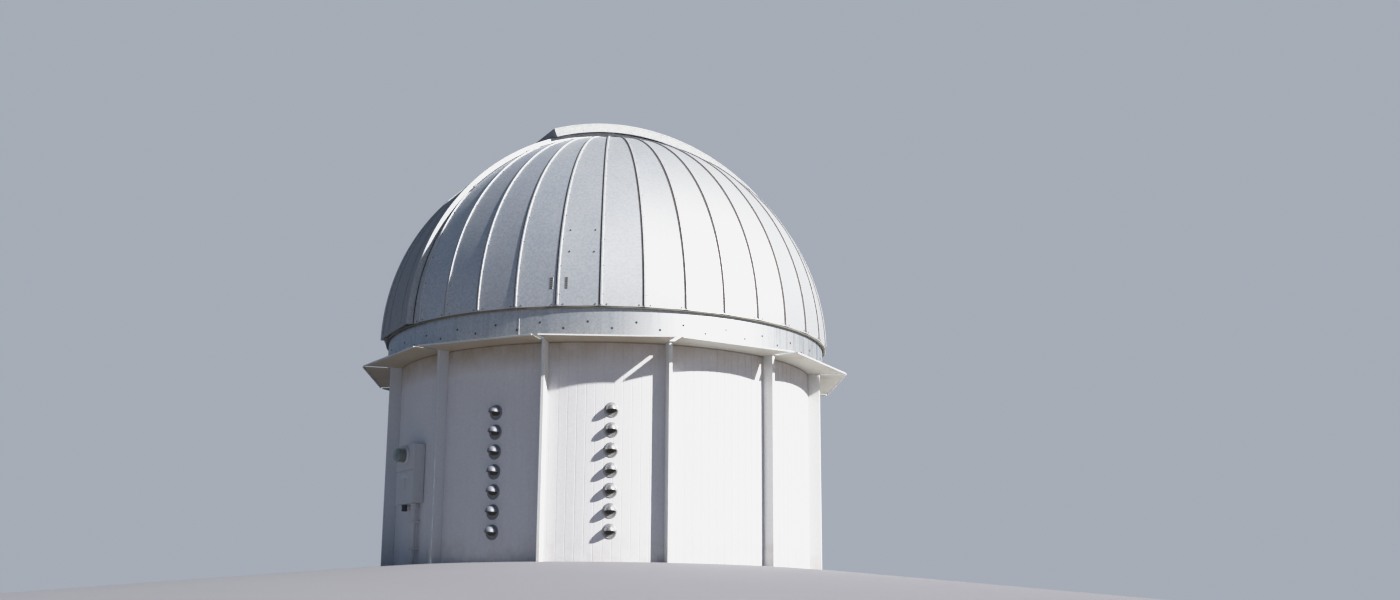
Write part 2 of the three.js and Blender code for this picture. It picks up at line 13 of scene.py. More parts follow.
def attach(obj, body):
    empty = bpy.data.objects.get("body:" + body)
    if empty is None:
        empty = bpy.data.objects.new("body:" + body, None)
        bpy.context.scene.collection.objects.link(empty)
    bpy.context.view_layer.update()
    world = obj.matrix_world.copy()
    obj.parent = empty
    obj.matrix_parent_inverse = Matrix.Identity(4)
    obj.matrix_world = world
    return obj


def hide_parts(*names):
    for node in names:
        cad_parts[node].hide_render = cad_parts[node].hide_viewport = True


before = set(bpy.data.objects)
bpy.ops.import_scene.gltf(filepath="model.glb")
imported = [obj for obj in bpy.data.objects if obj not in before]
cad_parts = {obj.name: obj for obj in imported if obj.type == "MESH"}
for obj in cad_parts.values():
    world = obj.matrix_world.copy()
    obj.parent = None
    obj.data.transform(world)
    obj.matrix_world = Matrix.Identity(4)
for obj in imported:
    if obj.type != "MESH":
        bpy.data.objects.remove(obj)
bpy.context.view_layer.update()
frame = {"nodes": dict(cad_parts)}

bl_info = {
    "name": "Observatory dome",
    "version": (1, 0, 0),
    "blender": (4, 5, 0),
    "location": "3D View > Sidebar > Observatory",
    "description": "Builds the surfaces and finishes of a small observatory dome on a round building",
    "category": "Object",
}

RANDOM_SEED = 18


# Properties

def length(name, description, default):
    return FloatProperty(name=name, description=description, default=default, unit="LENGTH", precision=4)


def angle(name, description, degrees):
    return FloatProperty(name=name, description=description, default=math.radians(degrees), subtype="ANGLE")


def count(name, description, default):
    return IntProperty(name=name, description=description, default=default, min=1)


def number(name, description, default):
    return FloatProperty(name=name, description=description, default=default)


def colour(name, description, default):
    return FloatVectorProperty(
        name=name, description=description, default=default, subtype="COLOR", size=3, min=0.0, max=1.0
    )


class DomeSizes(bpy.types.PropertyGroup):
    radius: length("Radius", "Radius of the sheet-metal skin at the seams", 2.743)
    centre: length("Centre height", "Height of the sphere's centre over the ground", 2.702)
    lip: length("Lip height", "Height of the skin's lower edge over the ground", 2.743)
    sheet: length("Skin thickness", "Skin and frame together", 0.020)
    gores: count("Gores", "Flat-across sheets round the dome", 36)
    first_seam: angle("First seam", "Azimuth of the seam that the count starts from", -11.6)
    rib_width: length("Rib width", "Width of the cap over a seam", 0.020)
    rib_height: length("Rib height", "How far the cap stands over the skin", 0.011)
    seal_out: length("Seal", "Radius of the outer face of the seal under the lip", 2.730)
    bulge: length("Sheet bulge", "How far a sheet bulges between its seams", 0.0016)
    ring_top: length("Base ring, top", "Height of the base ring's top", 2.900)


class SlitSizes(bpy.types.PropertyGroup):
    azimuth: angle("Azimuth", "Direction that the slit faces", -66.6)
    outer: length("Curb, outside", "Offset of the curb's outer face from the slit's middle", 0.565)
    inner: length("Curb, inside", "Offset of the curb's inner face from the slit's middle", 0.505)
    top: length("Curb top", "Radius of the curb's top", 2.746)
    foot: length("Curb foot", "Radius down to which the curb's outer face shows", 2.684)
    bottom: length("Curb bottom", "Radius of the curb's lower edge", 2.655)
    ledge: length("Ledge", "Radius of the ledge that carries the front shutter", 2.690)
    front_top: length("Front shutter", "Radius of the front shutter's sheet", 2.735)
    front_half: length("Front shutter, half width", "Half of the front shutter's width", 0.499)
    front_start: angle("Front shutter, foot", "Angle along the slit at which the front shutter starts", 1.1)
    front_end: angle("Front shutter, end", "Angle along the slit at which the front shutter ends", 71.0)
    upper_top: length("Upper shutter", "Radius of the upper shutter's skin", 2.847)
    upper_half: length("Upper shutter, half width", "Half of the upper shutter's width", 0.635)
    upper_skirt: length("Upper shutter, skirt", "Radius of the skirt's lower edge", 2.737)
    upper_start: angle("Upper shutter, front", "Angle along the slit at which the upper shutter starts", 68.7)
    upper_end: angle("Upper shutter, back", "Angle along the slit at which the upper shutter ends", 132.0)
    rear_top: length("Rear panel", "Radius of the rear panel", 2.718)
    rear_half: length("Rear panel, half width", "Half of the rear panel's width", 0.473)
    rear_start: angle("Rear panel, front", "Angle along the slit at which the rear panel starts", 112.0)
    rear_end: angle("Rear panel, foot", "Angle along the slit at which the rear panel ends", 179.0)


class WallSizes(bpy.types.PropertyGroup):
    outer: length("Wall, outside", "Outer radius of the wall", 2.540)
    inner: length("Wall, inside", "Inner radius of the wall", 2.400)
    top: length("Wall top", "Height of the wall", 2.373)
    bays: count("Bays", "Wall bays between fins", 12)
    first_fin: angle("First fin", "Azimuth of the fin that the count starts from", -15.0)
    board: angle("Board pitch", "Angle from one siding groove to the next", 2.25)
    first_groove: angle("First groove", "Azimuth of the groove that the count starts from", -0.5)
    groove_depth: length("Groove depth", "Depth of the V grooves in the siding", 0.0032)
    groove_width: length("Groove width", "Width of the V grooves in the siding", 0.011)
    groove_lean: number("Groove lean", "Where across the groove it is deepest", 0.9)
    fin_width: length("Fin width", "Thickness of a fin", 0.038)
    fin_outer: length("Fin, outside", "Radius of a fin's outer edge", 2.680)
    eave_apothem: length("Eave", "Distance from the middle to the eave's straight edges", 2.914)
    eave_thickness: length("Eave thickness", "Thickness of the eave plates", 0.015)
    soffit_rise: length("Soffit rise", "Height of the soffit over the edging's lower edge", 0.011)
    edging: length("Edging width", "Width of the edging along the eave", 0.012)
    eave_slot: length("Eave slot", "Width of the slots between the plates beyond the fins", 0.064)
    beam_inner: length("Ring beam, inside", "Inner radius of the ring beam", 2.480)
    beam_top: length("Ring beam, top", "Height of the ring beam's top", 2.752)
    drum_outer: length("Drum, outside", "Outer radius of the stationary drum", 2.700)
    drum_sheet: length("Drum sheet", "Thickness of the drum and its frame", 0.016)
    drum_top: length("Drum top", "Height of the drum's top", 2.783)
    drum_joint: angle("Drum joint", "Azimuth of the joint between the drum's sheets", -21.0)


class VentSizes(bpy.types.PropertyGroup):
    radius: length("Hood radius", "Radius of a vent's round hood", 0.062)
    bore: length("Bore radius", "Radius of the opening in the flange", 0.0575)
    flange: length("Flange radius", "Radius of the flange on the wall", 0.076)
    flange_depth: length("Flange depth", "How far the flange's rolled rim stands out", 0.008)
    oval: number("Oval", "Height of a vent against its width", 1.07)
    reach: length("Hood reach", "How far the hood stands out from the wall", 0.105)
    bluntness: number("Bluntness", "2 for a round hood, more for a blunt one", 2.7)
    rows: count("Rows", "Vents in one column", 7)
    top: length("Top vent", "Height of the top vent's middle", 1.632)
    pitch: length("Pitch", "Height from one vent to the next", 0.217)
    mouth_rise: angle("Mouth rise", "Angle at which the hood's open edge rises towards its front", 1.0)
    mouth_drop: length("Mouth drop", "How far the ends of the hood's open edge lie below its middle", 0.012)
    sill: length("Sill", "Height of the duct's lower inside, seen in the mouth", 0.022)


class CabinetSizes(bpy.types.PropertyGroup):
    azimuth: angle("Azimuth", "Direction of the cabinet from the building's middle", -57.9)
    width: length("Width", "Width of the cabinet", 0.440)
    depth: length("Depth", "Depth of the cabinet", 0.140)
    bottom: length("Bottom", "Height of the cabinet's bottom", 0.697)
    top: length("Top", "Height of the cabinet's top", 1.370)
    meter_height: length("Meter height", "Height of the meter's middle", 1.245)
    meter_ring: length("Meter ring", "Radius of the meter's ring", 0.102)
    meter_cover: length("Meter cover", "Radius of the meter's glass cover", 0.080)
    meter_reach: length("Meter reach", "How far the cover stands out from the cabinet", 0.125)
    pipe_side: length("Conduit offset", "Offset of the conduit from the cabinet's middle", 0.120)
    hub_side: length("Short hub offset", "Offset of the short hub from the cabinet's middle", -0.130)
    pipe_radius: length("Conduit radius", "Radius of the conduit", 0.030)
    pipe_from_wall: length("Conduit stand-off", "Distance from the wall to the conduit's middle", 0.062)


class DoorSizes(bpy.types.PropertyGroup):
    half_width: length("Half width", "Half of the doorway's width", 0.450)
    height: length("Height", "Height of the doorway", 2.050)
    frame: length("Frame", "Width of the frame's members", 0.050)
    leaf_back: length("Leaf, inside", "Distance from the middle to the leaf's inner face", 2.480)
    leaf_thickness: length("Leaf thickness", "Thickness of the leaf", 0.044)


class StageSizes(bpy.types.PropertyGroup):
    camera_distance: length("Camera distance", "Distance from the building's middle to the camera", 18.980)
    camera_height: length("Camera height", "Height of the camera over the building's foot", -0.866)
    camera_pitch: angle("Camera pitch", "How far the camera looks up", 12.78)
    camera_yaw: angle("Camera yaw", "How far the camera looks to the right", 3.52)
    camera_roll: angle("Camera roll", "How far the camera leans", 0.27)
    lens: number("Lens", "Focal length on a 36 mm sensor", 39.37)
    sun_azimuth: angle("Key light azimuth", "Direction of the key light from the front", 60.5)
    sun_height: angle("Key light height", "Height of the key light over the horizon", 30.5)
    sun_power: number("Key light", "Strength of the key light", 7.0)
    sun_size: angle("Key light size", "Angle that the key light fills", 1.6)
    mound: length("Mound radius", "Radius of the level ground round the building", 2.75)
    slope: angle("Ground slope", "Fall of the ground away from the building", 5.7)


class FinishColours(bpy.types.PropertyGroup):
    galvanised: colour("Galvanised sheet", "Colour of the dome's skin", (0.765, 0.768, 0.772))
    cap: colour("Seam caps", "Colour of the caps over the seams", (0.62, 0.622, 0.625))
    # painted highlight: colour of the pale strips along the caps' right flanks
    edge: colour("Painted highlight strips", "Colour of the bright edges of the caps", (0.80, 0.795, 0.79))
    shutter: colour("Shutter sheet", "Colour of the shutters", (0.41, 0.412, 0.415))
    curb: colour("Curb sheet", "Colour of the slit's curbs", (0.54, 0.55, 0.565))
    seal: colour("Lip seal", "Colour of the seal under the dome's lip", (0.19, 0.18, 0.155))
    paint: colour("Wall paint", "Colour of the siding", (0.775, 0.765, 0.785))
    trim: colour("Trim paint", "Colour of fins and frames", (0.82, 0.82, 0.80))
    soffit: colour("Soffit paint", "Colour of the eave's underside", (0.68, 0.675, 0.60))
    hood: colour("Vent metal", "Colour of the vents' hoods in the sun", (0.50, 0.50, 0.51))
    # painted shade: the darker copy of the vent metal for the column in the shade
    shaded_hood: colour("Vent metal in painted shade", "Colour of the vents' hoods in the shade", (0.25, 0.265, 0.31))
    steel: colour("Dark steel", "Colour of the rollers and their track", (0.10, 0.105, 0.11))
    cabinet: colour("Cabinet paint", "Colour of the cabinet", (0.62, 0.63, 0.65))
    door: colour("Door paint", "Colour of the door's leaf", (0.70, 0.71, 0.69))
    floor: colour("Floor", "Colour of the studio floor", (0.29, 0.285, 0.305))


class ObservatorySizes(bpy.types.PropertyGroup):
    dome: PointerProperty(type=DomeSizes)
    slit: PointerProperty(type=SlitSizes)
    wall: PointerProperty(type=WallSizes)
    vent: PointerProperty(type=VentSizes)
    cabinet: PointerProperty(type=CabinetSizes)
    door: PointerProperty(type=DoorSizes)
    stage: PointerProperty(type=StageSizes)
    finish: PointerProperty(type=FinishColours)


def sizes():
    """The sizes and colours kept with the scene."""
    return bpy.context.scene.observatory


# Points and surfaces

GAP = 0.0003
SMOOTH_ANGLE = 32.0


def place(azimuth, radius, height, side=0.0):
    """Points at an azimuth: radius along (sin a, -cos a), side along (cos a, sin a), height up."""
    a, r, z, s = np.broadcast_arrays(azimuth, radius, height, side)
    x = r * np.sin(a) + s * np.cos(a)
    y = s * np.sin(a) - r * np.cos(a)
    return np.stack([x, y, z], axis=-1)


def on_sphere(azimuth, radius, rise, side=0.0):
    """Points at an elevation from the sphere's centre: radius cos(rise) out and radius sin(rise) up."""
    return place(azimuth, radius * np.cos(rise), sizes().dome.centre + radius * np.sin(rise), side)


def arch(turn, radius, offset):
    """Points on arches along the slit: from the sphere's centre, radius along
    cos(turn) * front + sin(turn) * up, then offset along the level side direction."""
    return on_sphere(sizes().slit.azimuth, radius, turn, offset)


def pairs(first, second):
    """Every value of one list with every value of another."""
    return [grid.ravel() for grid in np.meshgrid(first, second, indexing="ij")]


def grid_quads(rows, columns, wrap_rows=False, wrap_columns=False):
    """Four-cornered faces of a grid whose points are numbered row by row."""
    r = np.arange(rows if wrap_rows else rows - 1)[:, None]
    c = np.arange(columns if wrap_columns else columns - 1)[None, :]
    row = r * columns
    below = ((r + 1) % rows) * columns
    beside = (c + 1) % columns
    return np.stack([row + c, row + beside, below + beside, below + c], axis=-1).reshape(-1, 4)


class Body:
    """One closed surface: points, four-cornered faces and end caps, turned to face outwards."""

    def __init__(self, points, quads, caps=(), **values):
        self.points = np.asarray(points, float).reshape(-1, 3)
        self.quads = np.asarray(quads)
        self.caps = [np.asarray(cap) for cap in caps]
        self.values = {name: np.asarray(value, float).reshape(-1) for name, value in values.items()}
        if self.volume() < 0.0:
            self.quads = self.quads[:, ::-1]
            self.caps = [cap[::-1] for cap in self.caps]

    def volume(self):
        """Sum of p0 . (p1 x p2) / 6 over the triangles, from the body's own middle."""
        p = self.points - self.points.mean(axis=0)
        q = p[self.quads]
        fans = [(q[:, 0], q[:, 1], q[:, 2]), (q[:, 0], q[:, 2], q[:, 3])]
        for cap in self.caps:
            c = p[cap]
            fans.append((np.broadcast_to(c[0], c[1:-1].shape), c[1:-1], c[2:]))
        return sum(np.einsum("ij,ij->", a, np.cross(b, c)) for a, b, c in fans) / 6.0


def tube(sections, **values):
    """A closed outline carried along a path: sections[station, corner], with a cap at both ends."""
    stations, corners = sections.shape[:2]
    first = np.arange(corners)[::-1]
    last = np.arange(corners) + (stations - 1) * corners
    return Body(sections, grid_quads(stations, corners, wrap_columns=True), [first, last], **values)


def hoop(sections):
    """A closed outline carried round a path that meets itself."""
    stations, corners = sections.shape[:2]
    return Body(sections, grid_quads(stations, corners, True, True))


def slab(outer, inner, **values):
    """Two grids of one size as the two faces of a plate, joined round their border."""
    rows, columns = outer.shape[:2]
    front = grid_quads(rows, columns)
    point = np.arange(rows * columns).reshape(rows, columns)
    border = np.concatenate([point[0, :-1], point[:-1, -1], point[-1, :0:-1], point[:0:-1, 0]])
    after = np.roll(border, -1)
    back = rows * columns
    rim = np.stack([after, border, border + back, after + back], axis=-1)
    points = np.concatenate([outer.reshape(-1, 3), inner.reshape(-1, 3)])
    both = {name: np.concatenate([np.ravel(value)] * 2) for name, value in values.items()}
    return Body(points, np.concatenate([front, front[:, ::-1] + back, rim]), **both)


def frames_of(normals):
    """Unit normals, and two unit vectors square to each, the first one level."""
    n = np.asarray(normals, float)
    n = n / np.linalg.norm(n, axis=-1, keepdims=True)
    up = np.where(np.abs(n[..., 2:3]) > 0.99, [0.0, 1.0, 0.0], [0.0, 0.0, 1.0])
    across = np.cross(up, n)
    across = across / np.linalg.norm(across, axis=-1, keepdims=True)
    return n, across, np.cross(n, across)


def studs(centres, normals, profile, sides):
    """Round heads: each profile corner (radius, height) turned about the normal at every centre."""
    n, across, along = frames_of(np.broadcast_to(normals, np.shape(centres)))
    radius, height = np.asarray(profile, float).T
    turn = np.linspace(0.0, 2.0 * np.pi, sides, endpoint=False)[:, None]
    circle = across[:, None, :] * np.cos(turn) + along[:, None, :] * np.sin(turn)
    points = (
        np.asarray(centres, float)[:, None, None, :]
        + circle[:, None] * radius[:, None, None]
        + n[:, None, None, :] * height[:, None, None]
    )
    return [tube(each) for each in points]


def cut_corners(outline, size):
    """Each corner becomes two, a little way towards the corner before and towards the corner after."""
    corners = np.asarray(outline, float)
    steps = [np.roll(corners, shift, axis=0) - corners for shift in (1, -1)]
    cut = [corners + step / np.linalg.norm(step, axis=1, keepdims=True) * size for step in steps]
    return np.stack(cut, axis=1).reshape(-1, 2)


def oblong(low, high, first, second, chamfer=0.0015):
    """Outline from low to high one way and from first to second the other, its corners cut."""
    return cut_corners([(low, first), (high, first), (high, second), (low, second)], chamfer)


def block(azimuth, radius, side, height, chamfer=0.002):
    """A box with chamfered edges: radius, side and height are (low, high) pairs."""
    outline = oblong(*radius, *side, chamfer)
    heights = np.array([height[0], height[0] + chamfer, height[1] - chamfer, height[1]])
    middle = outline.mean(axis=0)
    small = 1.0 - 2.0 * chamfer / np.ptp(outline, axis=0)
    scale = np.stack([small, np.ones(2), np.ones(2), small])
    shapes = middle + (outline - middle)[None] * scale[:, None, :]
    return tube(place(azimuth, shapes[..., 0], heights[:, None], shapes[..., 1]))


def turned(section, start, stop, steps):
    """A section of (radius, height) corners carried round the vertical axis, closed at a whole turn."""
    section = np.asarray(section, float)
    whole = abs(stop - start) > 2.0 * np.pi - 1e-6
    azimuth = np.linspace(start, stop, steps if whole else steps + 1, endpoint=not whole)
    points = place(azimuth[:, None], section[:, 0], section[:, 1])
    return hoop(points) if whole else tube(points)


def arched(section, start, stop, steps):
    """A section of (radius, offset) corners carried along the slit, from one angle in degrees to another."""
    section = np.asarray(section, float)
    turn = np.radians(np.linspace(start, stop, steps + 1))
    return tube(arch(turn[:, None], section[:, 0], section[:, 1]))


def put(name, bodies, finish, body, node=None, sharp=SMOOTH_ANGLE):
    """One piece from closed bodies: its mesh and finish, the CAD body it rides on, the CAD node it stands
    for, and its material slot, which holds the finish's material."""
    starts = np.cumsum([0] + [len(b.points) for b in bodies[:-1]])
    faces = np.concatenate([b.quads + s for b, s in zip(bodies, starts)]).tolist()
    faces += [(cap + s).tolist() for b, s in zip(bodies, starts) for cap in b.caps]
    mesh = bpy.data.meshes.new(name)
    mesh.from_pydata(np.concatenate([b.points for b in bodies]), [], faces)
    for value in sorted({value for b in bodies for value in b.values}):
        parts = [b.values.get(value, np.zeros(len(b.points))) for b in bodies]
        attribute = mesh.attributes.new(value, "FLOAT", "POINT")
        attribute.data.foreach_set("value", np.concatenate(parts).astype(np.float32))
    mesh.shade_smooth()
    mesh.set_sharp_from_angle(angle=math.radians(sharp))
    mesh.materials.append(material(finish))
    piece = bpy.data.objects.new(name, mesh)
    bpy.context.scene.collection.objects.link(piece)
    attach(piece, body)
    if node:
        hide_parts(node)


# Finishes

class Finish:
    """A material under construction, with short ways to add nodes. Each tint or blend is laid over the colour
    that the finish has so far."""

    def __init__(self, name, colour, roughness, metallic=0.0):
        self.material = bpy.data.materials.new(name)
        self.material.use_nodes = True
        self.tree = self.material.node_tree
        self.shader = self.tree.nodes["Principled BSDF"]
        self.coordinates = self.node("ShaderNodeTexCoord").outputs["Object"]
        self.paint((*colour, 1.0))
        self.rough(roughness)
        self.feed(self.shader.inputs["Metallic"], metallic)

    def node(self, kind, inputs=None, **settings):
        made = self.tree.nodes.new(kind)
        for name, value in settings.items():
            setattr(made, name, value)
        for name, value in (inputs or {}).items():
            self.feed(made.inputs[name], value)
        return made

    def feed(self, socket, value):
        if isinstance(value, bpy.types.NodeSocket):
            self.tree.links.new(value, socket)
        else:
            socket.default_value = value

    def paint(self, colour):
        self.colour = colour
        self.feed(self.shader.inputs["Base Color"], colour)

    def rough(self, roughness):
        self.feed(self.shader.inputs["Roughness"], roughness)

    def noise(self, scale, detail, roughness=0.5, vector=None):
        return self.node("ShaderNodeTexNoise", {
            "Vector": vector or self.coordinates, "Scale": scale, "Detail": detail, "Roughness": roughness,
        }).outputs["Fac"]

    def runs(self, across, up, detail=4.0):
        """Noise drawn out along the height."""
        vector = self.node("ShaderNodeMapping", {"Vector": self.coordinates, "Scale": (across, across, up)})
        return self.noise(1.0, detail, 0.6, vector.outputs["Vector"])

    def cells(self, scale):
        """A random number in each cell of a Voronoi pattern."""
        cells = self.node("ShaderNodeTexVoronoi", {"Vector": self.coordinates, "Scale": scale})
        return self.node("ShaderNodeSeparateColor", {"Color": cells.outputs["Color"]}).outputs["Red"]

    def value(self, name):
        return self.node("ShaderNodeAttribute", attribute_name=name).outputs["Fac"]

    def along(self, axis):
        return self.node("ShaderNodeSeparateXYZ", {"Vector": self.coordinates}).outputs[axis]

    def ranged(self, value, low, high, to_low=0.0, to_high=1.0):
        return self.node("ShaderNodeMapRange", {
            "Value": value, "From Min": low, "From Max": high, "To Min": to_low, "To Max": to_high,
        }).outputs["Result"]

    def maths(self, operation, first, second=0.0):
        made = self.node("ShaderNodeMath", operation=operation)
        self.feed(made.inputs[0], first)
        self.feed(made.inputs[1], second)
        return made.outputs["Value"]

    def blend(self, share, colour, kind="MIX"):
        """Lays another colour over the finish's, by a share from 0 to 1."""
        made = self.node("ShaderNodeMix", data_type="RGBA", blend_type=kind)
        self.feed(made.inputs["Factor"], share)
        self.feed(made.inputs[6], self.colour)
        self.feed(made.inputs[7], (*colour, 1.0))
        self.paint(made.outputs[2])

    def tint(self, share, colour):
        """Multiplies the finish's colour by another, by a share from 0 to 1."""
        self.blend(share, colour, "MULTIPLY")

    def bump(self, height, strength, distance):
        made = self.node("ShaderNodeBump", {"Height": height, "Strength": strength, "Distance": distance})
        if self.shader.inputs["Normal"].is_linked:
            self.feed(made.inputs["Normal"], self.shader.inputs["Normal"].links[0].from_socket)
        self.feed(self.shader.inputs["Normal"], made.outputs["Normal"])


def sheet_metal(name, colour, roughness, metallic, tone=0.0):
    """Zinc-coated sheet: a spangle of crystals, cloudy weathering and faint runs down the slope."""
    made = Finish(name, colour, roughness, metallic)
    clouds = made.noise(2.2, 5.0, 0.6)
    spangle = made.cells(52.0)
    made.tint(made.ranged(clouds, 0.35, 0.70, 0.0, 0.7), (0.88, 0.91, 0.95))
    made.tint(made.ranged(made.runs(7.0, 0.7), 0.58, 0.85, 0.0, 0.5), (0.86, 0.87, 0.87))
    made.tint(spangle, (0.79, 0.81, 0.83))
    if tone:
        made.tint(made.ranged(made.value("tone"), -1.0, 1.0, 0.0, tone), (0.80, 0.83, 0.88))
    cloudy = made.ranged(clouds, 0.3, 0.7, roughness - 0.015, roughness + 0.02)
    made.rough(made.maths("ADD", cloudy, made.ranged(spangle, 0.0, 1.0, -0.03, 0.03)))
    made.bump(made.noise(2.6, 2.0), 0.25, 0.004)
    made.bump(spangle, 0.05, 0.0006)
    return made


def skin_finish():
    """The dome's gores, each of a slightly different tone, with dirt gathered along the seams."""
    made = sheet_metal("galvanised gores", sizes().finish.galvanised, 0.51, 0.62, 0.3)
    from_middle = made.maths("ABSOLUTE", made.maths("SUBTRACT", made.value("across"), 0.5))
    patches = made.ranged(made.noise(5.0, 4.0), 0.4, 0.7, 0.0, 0.8)
    made.tint(made.maths("MULTIPLY", made.ranged(from_middle, 0.40, 0.5), patches), (0.78, 0.77, 0.76))
    return made


def drum_finish():
    """The drum's sheet, with darker runs that the rain has left under the lip."""
    made = sheet_metal("galvanised drum", sizes().finish.galvanised, 0.42, 0.72)
    runs = made.ranged(made.runs(16.0, 0.8, 3.0), 0.48, 0.66)
    weather_side = made.ranged(made.along("X"), 1.5, 2.2, 0.3, 1.0)
    made.tint(made.maths("MULTIPLY", runs, weather_side), (0.56, 0.63, 0.71))
    return made


def rib_finish():
    """The caps over the seams: duller sheet than the gores'."""
    return sheet_metal("galvanised caps", sizes().finish.cap, 0.6, 0.45)


def highlight_strip_finish():
    """Pale strips along the caps' right flanks: a painted highlight of the flank that catches the key light.
    """
    return sheet_metal("painted highlight strips", sizes().finish.edge, 0.5, 0.1)


def curb_finish():
    """The curbs: paler sheet than the shutters'."""
    return sheet_metal("curb sheet", sizes().finish.curb, 0.5, 0.25)


def shutter_finish():
    """The shutters: dull, darker sheet."""
    return sheet_metal("shutter sheet", sizes().finish.shutter, 0.6, 0.2)


def seal_finish():
    """Weathered olive-brown strip, blotched by the weather."""
    made = Finish("lip seal", sizes().finish.seal, 0.8)
    made.tint(made.ranged(made.noise(9.0, 5.0, 0.6), 0.4, 0.7, 0.0, 0.8), (0.66, 0.64, 0.66))
    made.bump(made.noise(150.0, 2.0), 0.2, 0.001)
    return made


SPLASH_HEIGHT = 0.35


def painted(name, colour, roughness, grain=0.0):
    """Weathered matt paint: cloudy shade, faint upright runs and splashes of soil near the ground."""
    made = Finish(name, colour, roughness)
    clouds = made.noise(1.7, 5.0, 0.6)
    made.tint(made.ranged(clouds, 0.4, 0.7, 0.0, 0.6), (0.95, 0.95, 0.94))
    made.tint(made.ranged(made.runs(9.0, 0.5), 0.58, 0.78, 0.0, 0.5), (0.90, 0.90, 0.89))
    made.tint(made.ranged(made.noise(34.0, 3.0, 0.7), 0.35, 0.65, 0.0, 0.8), (0.91, 0.91, 0.92))
    near_ground = made.ranged(made.along("Z"), 0.0, SPLASH_HEIGHT, 1.0, 0.0)
    splashes = made.ranged(made.noise(7.0, 6.0), 0.4, 0.75)
    made.tint(made.maths("MULTIPLY", near_ground, splashes), (0.80, 0.76, 0.70))
    made.rough(made.ranged(clouds, 0.3, 0.7, roughness - 0.06, roughness + 0.06))
    made.bump(made.noise(120.0, 3.0), 0.12, 0.0008)
    if grain:
        made.bump(made.runs(90.0, 2.0), grain, 0.0012)
    return made


def wall_finish():
    """Siding: every board has its own slight tone. Below the eave it is browner and darker, partly moisture
    stains and partly painted shade under the eave, more so on the side away from the key light, with a
    painted dark line of shade where it meets the soffit.
    """
    made = painted("siding paint", sizes().finish.paint, 0.62, 0.15)
    top = sizes().wall.top + sizes().wall.soffit_rise
    made.tint(made.ranged(made.value("tone"), -1.0, 1.0, 0.0, 0.08), (0.98, 0.98, 0.975))
    # below the eave: brown blotches of moisture stains together with painted shade under the eave
    near_eave = made.ranged(made.along("Z"), top - 0.30, top - 0.02)
    damp_and_shade = made.maths("MULTIPLY", near_eave, made.ranged(made.noise(5.0, 5.0, 0.65), 0.30, 0.60, 0.55, 1.0))
    made.tint(damp_and_shade, (0.74, 0.66, 0.56))
    # painted shade: the brown darkening is stronger towards -X, away from the key light
    made.tint(made.maths("MULTIPLY", damp_and_shade, made.ranged(made.along("X"), 0.3, -1.2)), (0.76, 0.71, 0.60))
    # painted shade: a dark line in the crease under the soffit
    made.tint(made.ranged(made.along("Z"), top - 0.018, top - 0.006), (0.55, 0.48, 0.41))
    return made


def trim_finish():
    """The fins: white paint, with painted shade that makes it darker and bluer on the side away from the key
    light.
    """
    made = painted("trim paint", sizes().finish.trim, 0.58, 0.2)
    # painted shade: darker and bluer towards -X, away from the key light
    made.tint(made.ranged(made.along("X"), -0.8, -1.5), (0.80, 0.83, 0.90))
    return made


def soffit_finish():
    """The eave: off-white paint, darker and browner on the side away from the key light, which is painted
    shade, with stains in blotches all over.
    """
    made = painted("soffit paint", sizes().finish.soffit, 0.7, 0.2)
    # painted shade: darker and browner towards -X, away from the key light
    made.tint(made.ranged(made.along("X"), 1.0, 0.3), (0.76, 0.66, 0.56))
    made.tint(made.ranged(made.noise(2.2, 6.0, 0.65), 0.45, 0.75, 0.0, 0.8), (0.84, 0.79, 0.73))
    return made


def cabinet_finish():
    """Chalky grey paint on the cabinet, slightly darker in cloudy patches."""
    made = painted("cabinet paint", sizes().finish.cabinet, 0.5)
    made.blend(made.ranged(made.noise(6.0, 5.0, 0.6), 0.5, 0.75, 0.0, 0.6), (0.55, 0.56, 0.57))
    return made


def door_finish():
    """Paint on the door's leaf."""
    return painted("door paint", sizes().finish.door, 0.5, 0.1)


def bare_metal(name, colour, roughness, metallic):
    """Bare metal, dulled by the weather."""
    made = Finish(name, colour, roughness, metallic)
    dull = made.noise(25.0, 4.0, 0.6)
    made.tint(made.ranged(dull, 0.4, 0.75), (0.88, 0.88, 0.90))
    made.rough(made.ranged(dull, 0.3, 0.7, roughness - 0.03, roughness + 0.03))
    return made


def hood_finish():
    """The vents' hoods in the sun."""
    return bare_metal("vent metal", sizes().finish.hood, 0.42, 0.7)


def shaded_hood_finish():
    """The vents' hoods in the shade: a darker, bluer copy of the vent metal, which is painted shade."""
    return bare_metal("vent metal in painted shade", sizes().finish.shaded_hood, 0.5, 0.12)


def speckled(name, colour, roughness, metallic, tint, scale, detail=4.0, share=1.0):
    """One colour with patches of a tint, at most by the share given."""
    made = Finish(name, colour, roughness, metallic)
    made.tint(made.ranged(made.noise(scale, detail), 0.4, 0.7, 0.0, share), tint)
    return made


def fastener_finish():
    """Dark grey: the dulled heads of screws and bolts, and the dark strips along the curbs' feet."""
    return speckled("screw heads", (0.06, 0.06, 0.063), 0.6, 0.2, (0.6, 0.5, 0.42), 150.0, 3.0)


def sill_finish():
    """The lower inside of a vent's duct: grey metal filmed with dust."""
    return speckled("duct sill", (0.32, 0.32, 0.325), 0.6, 0.2, (0.8, 0.78, 0.74), 40.0)


def lining_finish():
    """The inside of a vent's hood: dark brown, which paints the shade under the hood, with dusty patches."""
    return speckled("duct lining", (0.27, 0.245, 0.19), 0.8, 0.0, (0.75, 0.72, 0.66), 35.0)


def shadow_bead_finish():
    """Dark grey-brown with a dusty tint, for the beads beside the ribs: painted shadow."""
    return speckled("seam shadow bead", (0.12, 0.10, 0.095), 0.8, 0.0, (0.70, 0.68, 0.66), 20.0)


